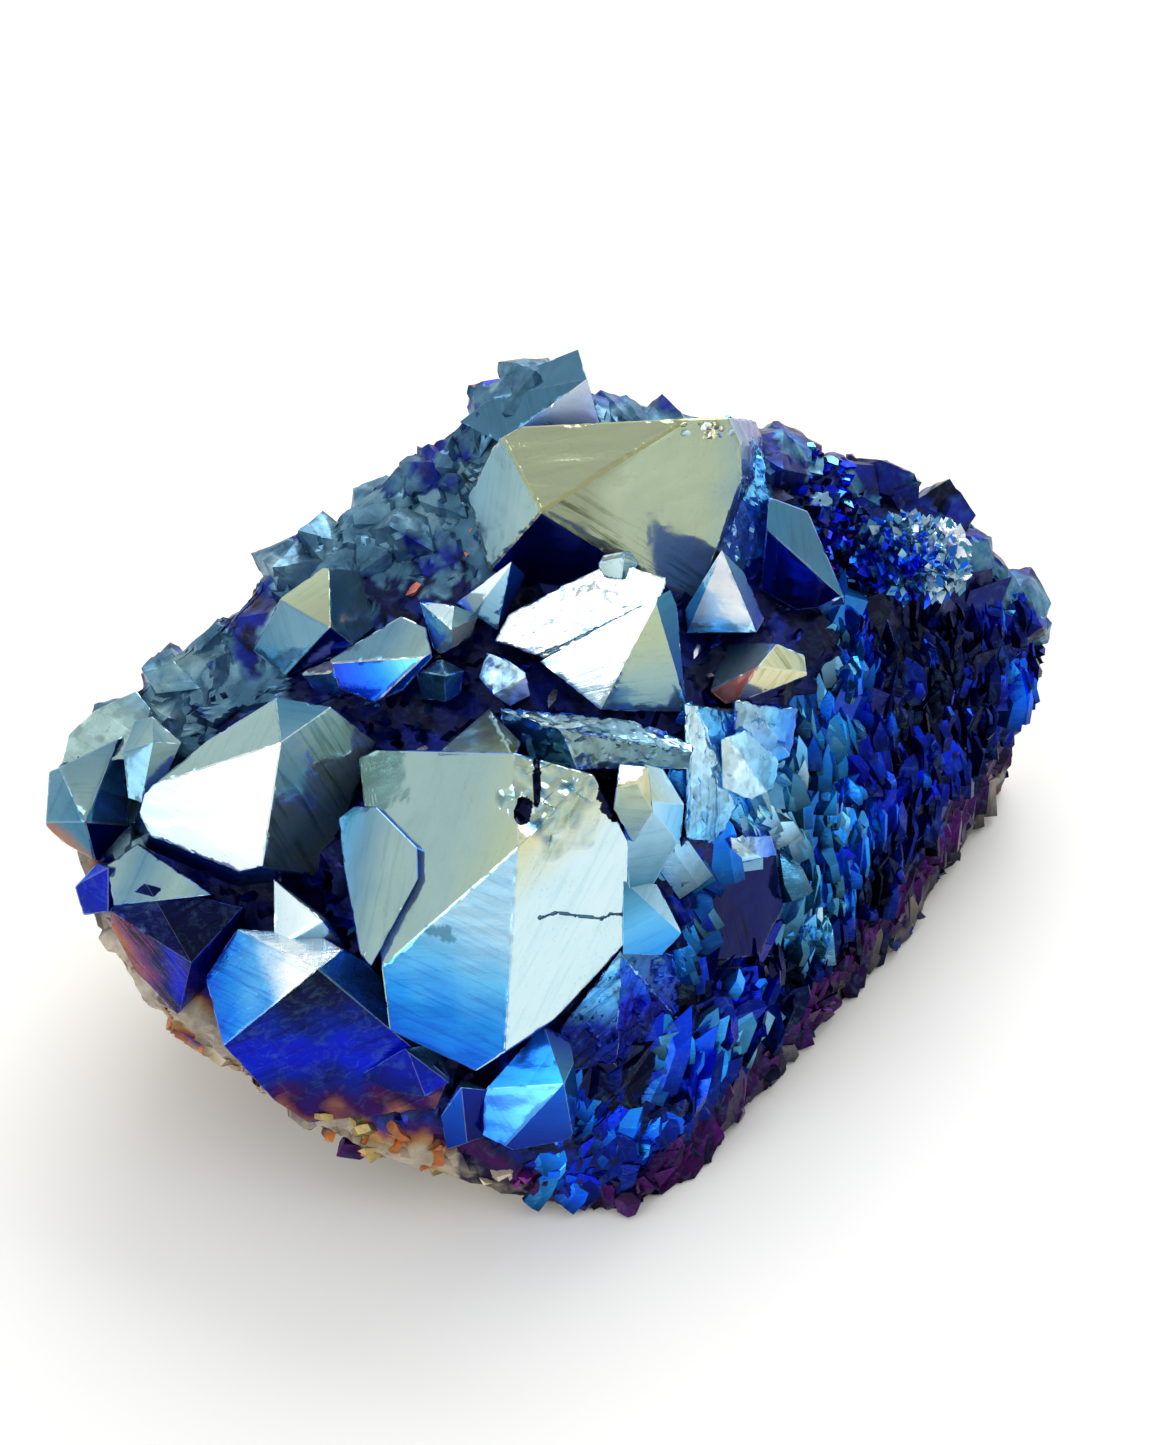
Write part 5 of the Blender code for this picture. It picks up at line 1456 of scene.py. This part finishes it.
def standing(place, along, out, width, thickness, length, twist):
    """Give the matrix that stands a template on a surface, pointing along a direction."""
    side = along.cross(out).normalized()
    front = side.cross(along).normalized()
    turn = Matrix((side, front, along)).transposed().to_4x4()
    scale = Matrix.Diagonal((width, thickness, length, 1.0))
    return Matrix.Translation(place) @ turn @ scale @ Matrix.Rotation(twist, 4, "Z")


def blade_template():
    """Make the coarse blade of the wall: five sides and a poked point."""
    bpy.ops.mesh.primitive_cone_add(vertices=BLADE_SIDES, radius1=0.5,
                                    radius2=0.5 * BLADE_TAPER, depth=1.0)
    piece = bpy.context.active_object
    edit(piece)
    bpy.ops.mesh.select_all(action="DESELECT")
    close_edit()
    max(piece.data.polygons, key=lambda face: face.center.z).select = True
    edit_chosen(piece, FLATS)
    bpy.ops.mesh.poke()
    close_edit()
    paint(piece, np.ones((len(piece.data.loops), 4)))
    return piece


def drift(spot, layer):
    """Give a value from -1 to 1 that changes slowly over the wall, one for each layer."""
    return PATCH_RANGE * noise.noise(Vector((spot[0] / PATCH, spot[1] / PATCH, layer * PATCH_STEP)))


def bare_of_blades(spot):
    """Say whether a crystal of the wall covers a place, so that nothing grows there."""
    return any(inside(spot, CRYSTALS[name]["outline"]) for name in BARE_OF_BLADES)


def upright(lean):
    """Give the direction up the bed, leaned across it by an angle."""
    return BED @ Vector((math.sin(lean), math.cos(lean), 0.0))


def wall_tone(spot, dice):
    """Choose the film of a shard on the wall: pale at the upper left, deep to the right, and
    painted darker in patches and deep gaps, as shade.
    """
    across, up = spot
    pale = max(0.0, min(1.0, PALE_HEAD - (across - PALE_FROM) / PALE_FADE))
    pale *= max(PALE_LEAST, min(1.0, up / PALE_TOP))
    level = PALE_SHARE * pale + DRIFT_SHARE * drift(spot, 1.0) + dice.gauss(0.0, TONE_SPREAD)
    # painted shade: patches darker, as the voids between shards
    level -= 0.8 * max(0.0, drift(spot, 7.0) - 0.3)
    # painted shade: darker in the deep gaps of the wall
    if in_oval(spot, SHADED_WALL_GAPS, 0.6 * drift(spot, 9.0)):
        level -= GAP_SHADE
    edge = distance_to(LOW_RIM, spot) + 1.5 * drift(spot, 5.0)
    if edge < LOW_EDGE[-1][0]:
        return between(LOW_EDGE, edge)
    return between(WALL_STEPS, level)


def land(spot, surfaces):
    """Find the outermost place and direction of some surfaces over a spot of the bed."""
    hits = [surface.ray_cast(on_bed((*spot, VIEW_OUT)), -OUT) for surface in surfaces]
    hits = [hit for hit in hits if hit[0] is not None]
    if not hits:
        return None, None
    place, normal, _, _ = min(hits, key=lambda hit: hit[3])
    return place, normal


def coarse_blades(surface):
    """Cover the right wall with its large blades, upright above and slanting below."""
    dice, tint = random.Random(11), random.Random(3)
    template = blade_template()
    parts = []
    across = WALL_START
    while across < WALL_END:
        step = BLADE_PITCH * (1.0 if across < WALL_TURN else WALL_FORESHORTENING)
        up = WALL_BASE
        while up < WALL_TOP:
            spot = (across + dice.uniform(-BLADE_SPREAD, BLADE_SPREAD) * step,
                    up + dice.uniform(-BLADE_SPREAD, BLADE_SPREAD) * BLADE_PITCH)
            lean = dice.gauss(0.0, LEAN_SPREAD) + LEAN_BELOW * max(0.0, 1.0 - up / LEAN_TOP)
            sizes = [dice.uniform(*span) for span in (BLADE_WIDTHS, BLADE_DEPTHS, BLADE_LENGTHS)]
            swing, twist = dice.uniform(*BLADE_SWING), dice.uniform(0.0, math.tau)
            up += BLADE_PITCH
            if not inside(spot, BLADE_WALL) or bare_of_blades(spot):
                continue
            place, normal = land(spot, (surface,))
            if place is None or place.z < BLADE_LOWEST:
                continue
            along = (upright(lean) + normal * swing).normalized()
            part = copy_of(template, Matrix.Rotation(twist, 4, "Z"),
                           wall_tone(spot, tint) * BLADE_SHADE)
            peak = max(part.data.vertices, key=lambda vert: vert.co.z)
            aside, forward, rise = BLADE_PEAK
            peak.co += Vector((aside * math.cos(3.0 * twist), forward, rise))
            part.data.transform(standing(place - normal, along, normal, *sizes, 0.0))
            parts.append(part)
        across += step
    drop([template])
    return join("wall_blades", parts)


def fine_shards(surfaces, templates):
    """Grow small shards all over the wall, in patches that lean alike."""
    dice = random.Random(17)
    parts = []
    for _ in range(bpy.context.scene.aura_rock.shards):
        spot = (dice.uniform(*WALL_ACROSS), dice.uniform(*WALL_UP))
        low, tall = dice.random() ** 1.6, dice.random() ** 1.4
        large = SHARD_LARGE - SHARD_SMALLER * min(1.0, abs(spot[0] - SHARD_MIDDLE) / SHARD_FADE)
        length = (SHARD_LENGTHS[0] + SHARD_LENGTHS[1] * low) * large
        width = (SHARD_WIDTHS[0] + SHARD_WIDTHS[1] * tall) * large
        slant = (SLANT_DRIFT * drift(spot, 2.0) + dice.gauss(0.0, SLANT_SPREAD)
                 + SLANT_BELOW * max(0.0, 1.0 - spot[1] / LEAN_TOP))
        swing = (SWING_OUT + SWING_DRIFT * drift(spot, 3.0)
                 + dice.uniform(-SWING_SPREAD, SWING_SPREAD))
        twist = TWIST_DRIFT * drift(spot, 4.0) + dice.gauss(0.0, TWIST_SPREAD)
        template = dice.choice(templates)
        if not inside(spot, WALL_RING) or bare_of_blades(spot):
            continue
        place, normal = land(spot, surfaces)
        if place is None or place.z < SHARD_LOWEST:
            continue
        along = (upright(slant) + OUT * swing).normalized()
        out = (OUT * 0.6 + normal * 0.4).normalized()
        matrix = standing(place - along * length * 0.5 - out * width * 0.1, along, out, width,
                          width * 0.5, length, twist)
        parts.append(copy_of(template, matrix, wall_tone(spot, dice)))
    return join("wall_shards", parts)


# --- Crumbs, lumps and druse ------------------------------------------------------------------

def crumb_fits(spot):
    """Say whether a place lies in the open crevices of the bed, away from its broken edges."""
    if not inside(spot, BED_RING) or inside(spot, BLADE_WALL):
        return False
    if any(inside(spot, shape["outline"]) for shape in CRYSTALS.values()):
        return False
    if distance_to(FRONT_RIM, spot) < CRUMB_EDGE:
        return False
    return spot[0] >= RIM_REACH or distance_to(BACK_RIM, spot) >= RIM_WIDTH + 2.0


def crevice_bits(dice, surface, splinters):
    """Scatter small crystals in the gaps of the bed."""
    parts = []
    for _ in range(bpy.context.scene.aura_rock.crumbs):
        spot = (dice.uniform(*CRUMB_ACROSS), dice.uniform(*CRUMB_UP))
        tilt = Vector((dice.gauss(0.0, 0.5), dice.gauss(0.0, 0.5), 1.0))
        size, twist = dice.uniform(*CRUMB_SIZES), dice.uniform(0.0, math.tau)
        splinter, dark = dice.choice(splinters), dice.choice(CREVICE_CRUMBS)
        place, _ = land(spot, (surface,)) if crumb_fits(spot) else (None, None)
        if place is None:
            continue
        along = (BED @ tilt).normalized()
        matrix = standing(place - along * size * 0.5, along, BED @ Vector((1.0, 0.2, 0.0)),
                          size * 0.6, size * 0.6, size * 1.8, twist)
        parts.append(copy_of(splinter, matrix, film(dark)))
    return parts


def crumbs(surface, splinters, flakes):
    """Scatter crystals in the gaps, bits of crust at a worn corner, and a few rusty bits."""
    dice = random.Random(53)
    parts = crevice_bits(dice, surface, splinters)
    for _ in range(CORNER_BITS):
        spot = [dice.gauss(*part) for part in zip(CORNER_PLACE, CORNER_SPREAD)]
        size, name = dice.uniform(*CORNER_SIZES), dice.choice(CORNER_TONES)
        flake = dice.choice(flakes)
        way = (BED @ Vector((dice.gauss(0.0, 1.0), 1.0, 0.3))).normalized()
        place, normal = land(spot, (WORK["top_crystal"],))
        if place is None:
            continue
        matrix = standing(place - way * size * 0.5, way, normal, size, size * 0.4, size, 0.0)
        parts.append(copy_of(flake, matrix, film(name)))
    for across, up, name, size in RED_BITS:
        place, normal = land((across, up), (surface,))
        matrix = standing(place, BED @ Vector((1.0, 0.0, 0.0)), normal, size, size, size, 0.0)
        parts.append(copy_of(flakes[0], matrix, film(name)))
    return join("crevice_crumbs", parts)


def edge_crumbs(surface, flakes):
    """Break up the low edge, from the left end to the right, with rough flakes."""
    dice = random.Random(61)
    rim = [on_bed(corner) for corner in FRONT_CORNERS[2:15]]
    parts = []
    for _ in range(EDGE_COUNT):
        leg = dice.randrange(len(rim) - 1)
        spot = rim[leg].lerp(rim[leg + 1], dice.random())
        spot += BED @ Vector((dice.gauss(0.0, EDGE_SPREAD[0]),
                              abs(dice.gauss(0.0, EDGE_SPREAD[1])) - EDGE_BELOW, 0.0))
        place, normal, _, _ = surface.find_nearest(spot)
        way = Vector((dice.gauss(0.0, 1.0), dice.gauss(0.0, 1.0), dice.gauss(0.0, 1.0)))
        along = (normal * EDGE_LEAN + way.normalized()).normalized()
        across = (BED.transposed() @ spot).x
        _, share, sizes, tones = next(row for row in EDGE_CRUMBS if across < row[0])
        size, flake = dice.uniform(*sizes), dice.choice(flakes)
        if dice.random() > share:
            continue
        matrix = standing(place - normal * size * EDGE_SINK, along, way.normalized(),
                          *[size * part for part in EDGE_SHAPE], 0.0)
        parts.append(copy_of(flake, matrix, film(dice.choice(tones))))
    return join("edge_crumbs", parts)


def druse(piece, surface, splinters):
    """Cover the boulder with tiny crystals that stand out of it, and sow a few fields more."""
    dice = random.Random(71)
    faces = [face for face in piece.data.polygons if face.normal.dot(OUT) > -0.2]
    spots = []
    for _ in range(DRUSE_COUNT):
        face = dice.choice(faces)
        spots.append((face.center, face.normal,
                      boulder_tone(face.center, face.normal, dice.uniform(*DRUSE_SHADES))))
    for middle, spread, number in DRUSE_FIELDS:
        for _ in range(number):
            place, normal = land([dice.gauss(*part) for part in zip(middle, spread)], (surface,))
            if place is not None:
                spots.append((place, normal, film(dice.choice(DRUSE_TONES))))
    parts = []
    for place, normal, tint in spots:
        out = Vector([way + dice.gauss(0.0, DRUSE_LEAN) for way in normal]).normalized()
        side, size = out.orthogonal().normalized(), dice.uniform(*DRUSE_SIZES)
        matrix = standing(place - out * size * 0.5, out, side, size * 0.8, size * 0.8,
                          size * 1.4, dice.uniform(0.0, math.tau))
        parts.append(copy_of(dice.choice(splinters), matrix, tint))
    return join("boulder_druse", parts)


def lump(place, size, dice):
    """Make a broken lump with a few flat sides."""
    bpy.ops.mesh.primitive_ico_sphere_add(subdivisions=1, radius=1.0)
    piece = bpy.context.active_object
    for vert in piece.data.vertices:
        vert.co = vert.co * dice.uniform(*LUMP_DENTS)
    scale = Matrix.Diagonal((*size, 1.0))
    turn = Matrix.Rotation(dice.uniform(0.0, math.tau), 4, "Z")
    turn = turn @ Matrix.Rotation(dice.random(), 4, "X")
    piece.data.transform(Matrix.Translation(place) @ turn @ scale)
    return piece


def rim_lumps(surface):
    """Break up the back rim with rows of lumps, and give the boulder apart."""
    dice = random.Random(5)
    rim = [on_bed(corner) for corner in FRONT_CORNERS[BACK_RIM_START:]]
    parts = []
    for row in range(LUMP_ROWS):
        for start, end in zip(rim, rim[1:]):
            steps = max(1, round((end - start).length / LUMP_PITCH))
            for step in range(steps):
                spot = start.lerp(end, (step + dice.random() * LUMP_JITTER) / steps)
                spot += BED @ Vector((0.0, dice.uniform(*LUMP_DROP) - LUMP_PITCH * row, 0.0))
                place, normal, _, _ = surface.find_nearest(spot)
                size = [dice.uniform(*LUMP_SIZES) for _ in range(3)]
                parts.append(lump(place - normal * LUMP_SINK, size, dice))
    boulder = lump(on_bed(BOULDER_PLACE), BOULDER_SIZE, dice)
    boulder.name = "boulder"
    return join("rim_lumps", parts), boulder


def boulder_tone(spot, _, shade):
    """Give the film on the boulder: deep blue at its left and foot, pale on top."""
    away = BED.transposed() @ spot - Vector(BOULDER_PLACE)
    across, up = BOULDER_FADE
    return between(BOULDER_TONES,
                   BOULDER_SHADE * shade + across * away.x + up * away.y + BOULDER_LIGHT)


def lump_tone(spot, normal, shade):
    """Give the film on a rim lump: grey blue at the left, dark teal and blue at the right."""
    if (BED.transposed() @ spot).x < RIM_REACH:
        return rock_tone(spot, normal, shade)
    cloud = noise.fractal(spot / LUMP_CLOUD, *CLOUD_WAVES)
    facing = normal.dot(OUT) + FILM_WAVE * cloud
    if facing < LUMP_TURNED:
        return between(UNDERSIDE, facing + LUMP_TURNED)
    return between(DARK_RIM, shade + 0.3 * (facing - 0.5))


# --- Operators --------------------------------------------------------------------------------

WORK = {}                           # the finishes, and the pieces that others grow on


class AURA_OT_rock(bpy.types.Operator):
    """Shape the broken block of quartz rock"""

    bl_idname = "aura.rock"
    bl_label = "Broken rock"

    def execute(self, context):
        """Shape, roughen and paint the block."""
        sizes = context.scene.aura_rock
        WORK.update(make_materials())
        rock = rough_block()
        WORK["surface"] = surface_of(rock)
        refine(rock, sizes.grain, ROCK_ROUNDS)
        finish_rock(rock, sizes.facet, sizes.facet_depth, rock_tone)
        dress(rock, WORK["rock"], CREASES["rock"])
        return {"FINISHED"}


class AURA_OT_crystals(bpy.types.Operator):
    """Cut the named crystals of the bed"""

    bl_idname = "aura.crystals"
    bl_label = "Large crystals"

    def execute(self, context):
        """Cut each crystal of the list."""
        for name in CRYSTALS:
            piece = crystal(name, FINE_FACES.get(name, context.scene.aura_crystals.grain))
            if name == "top_crystal":
                WORK[name] = surface_of(piece)
            dress(piece, WORK["dark" if name in DARK_FACED else "face"], CREASES["crystals"])
        return {"FINISHED"}


class AURA_OT_wall(bpy.types.Operator):
    """Grow the blades and shards of the right wall"""

    bl_idname = "aura.wall"
    bl_label = "Blades and shards"

    def execute(self, context):
        """Grow the large blades, then small shards over them."""
        blades = coarse_blades(WORK["surface"])
        templates = shard_templates(4) + flake_templates(8)
        shards = fine_shards((surface_of(blades), WORK["surface"]), templates)
        drop(templates)
        dress(blades, WORK["wall"], CREASES["blades"])
        dress(shards, WORK["wall"], CREASES["shards"])
        return {"FINISHED"}


class AURA_OT_rim(bpy.types.Operator):
    """Break up the back rim and set the boulder"""

    bl_idname = "aura.rim"
    bl_label = "Rim lumps and boulder"

    def execute(self, context):
        """Make the lumps and the boulder, and what grows on them and in the gaps."""
        surface = WORK["surface"]
        lumps, boulder = rim_lumps(surface)
        splinters, flakes = shard_templates(4), flake_templates(5)
        bits = crumbs(surface, splinters, flakes)
        edge = edge_crumbs(surface, flakes)
        for piece, tone_at in ((lumps, lump_tone), (boulder, boulder_tone)):
            refine(piece, LUMP_GRAIN, LUMP_ROUNDS)
            finish_rock(piece, *LUMP_FLATS, tone_at)
        tiny = druse(boulder, surface, splinters)
        drop(splinters + flakes)
        for piece, finish, crease in ((bits, "wall", "bits"), (edge, "rock", "bits"),
                                      (tiny, "druse", "shards"), (lumps, "rock", "lumps"),
                                      (boulder, "rock", "lumps")):
            dress(piece, WORK[finish], CREASES[crease])
        return {"FINISHED"}


class AURA_OT_stage(bpy.types.Operator):
    """Lay the floor and set the lights and the camera"""

    bl_idname = "aura.stage"
    bl_label = "Floor, lights and camera"

    def execute(self, context):
        """Lay the floor, then set the lights and the camera."""
        bpy.ops.mesh.primitive_plane_add(size=FLOOR_SIZE, location=(0.0, 0.0, -FLOOR_DROP))
        floor = context.active_object
        floor.name = "floor"
        paper = bpy.data.materials.new("pale_paper")
        paper.use_nodes = True
        shader = paper.node_tree.nodes["Principled BSDF"]
        shader.inputs["Base Color"].default_value = PAPER
        shader.inputs["Roughness"].default_value = PAPER_ROUGHNESS
        floor.data.materials.append(paper)
        light_world(context.scene)
        for light in LIGHTS:
            area_light(*light)
        set_camera(context.scene)
        return {"FINISHED"}


def light_world(scene):
    """Light the room evenly, darker high in front, where whoever looks at the bed stands."""
    world = bpy.data.worlds.new("studio")
    scene.world = world
    world.use_nodes = True
    tree = world.node_tree
    facing = tree.nodes.new("ShaderNodeVectorMath")
    facing.operation = "DOT_PRODUCT"
    facing.inputs[1].default_value = OUT
    feed(tree, facing.inputs[0], node(tree, "ShaderNodeTexCoord")["Generated"])
    back = tree.nodes["Background"].inputs
    back["Color"].default_value = (1.0, 1.0, 1.0, 1.0)
    feed(tree, back["Strength"],
         map_range(tree, facing.outputs["Value"], *ROOM_FACING, *ROOM_LIGHT))
    scene.view_settings.view_transform = "Standard"


def area_light(name, place, size, power):
    """Hang a soft square light that faces the specimen."""
    data = bpy.data.lights.new(name, "AREA")
    data.size, data.energy = size, power
    lamp = bpy.data.objects.new(name, data)
    lamp.location = place
    lamp.rotation_euler = (-Vector(place)).to_track_quat("-Z", "Y").to_euler()
    lamp.visible_camera = False
    bpy.context.scene.collection.objects.link(lamp)


def set_camera(scene):
    """Look straight at the bed from far away."""
    data = bpy.data.cameras.new("camera")
    data.sensor_fit, data.sensor_height = "VERTICAL", SENSOR
    data.lens = SENSOR * CAMERA_AWAY / VIEW_HEIGHT
    data.clip_end = VIEW_END
    camera = bpy.data.objects.new("camera", data)
    across, up, out = AIM
    camera.location = in_frame(on_bed((across, up, out + CAMERA_AWAY)))
    camera.rotation_euler = (BED_TIP, 0.0, 0.0)
    scene.collection.objects.link(camera)
    scene.camera = camera


class AURA_PT_panel(bpy.types.Panel):
    """Lists the steps that build the cluster, and its sizes and tones"""

    bl_label = "Aura Quartz Cluster"
    bl_idname = "AURA_PT_panel"
    bl_space_type = "VIEW_3D"
    bl_region_type = "UI"
    bl_category = "Aura Quartz"

    def draw(self, context):
        """Draw a button for each step and a field for each value."""
        for step in STEPS:
            self.layout.operator(step.bl_idname)
        for group_name in ("aura_crystals", "aura_rock", "aura_tones"):
            values = getattr(context.scene, group_name)
            for name in values.bl_rna.properties.keys():
                if name not in {"rna_type", "name"}:
                    self.layout.prop(values, name)


GROUPS = {"aura_tones": FilmTones, "aura_crystals": CrystalSizes, "aura_rock": RockSizes}
STEPS = (AURA_OT_rock, AURA_OT_crystals, AURA_OT_wall, AURA_OT_rim, AURA_OT_stage)


def register():
    """Register the values, steps and panel, and fix the noise that tilts the broken flats."""
    noise.seed_set(FACET_SEED)
    for kind in (*GROUPS.values(), *STEPS, AURA_PT_panel):
        bpy.utils.register_class(kind)
    for name, kind in GROUPS.items():
        setattr(bpy.types.Scene, name, PointerProperty(type=kind))


def unregister():
    """Take the values, steps and panel away again."""
    for name in GROUPS:
        delattr(bpy.types.Scene, name)
    for kind in reversed((*GROUPS.values(), *STEPS, AURA_PT_panel)):
        bpy.utils.unregister_class(kind)


def main():
    """Build the cluster step by step."""
    register()
    bpy.ops.aura.rock()
    bpy.ops.aura.crystals()
    bpy.ops.aura.wall()
    bpy.ops.aura.rim()
    bpy.ops.aura.stage()


if __name__ == "__main__":
    main()
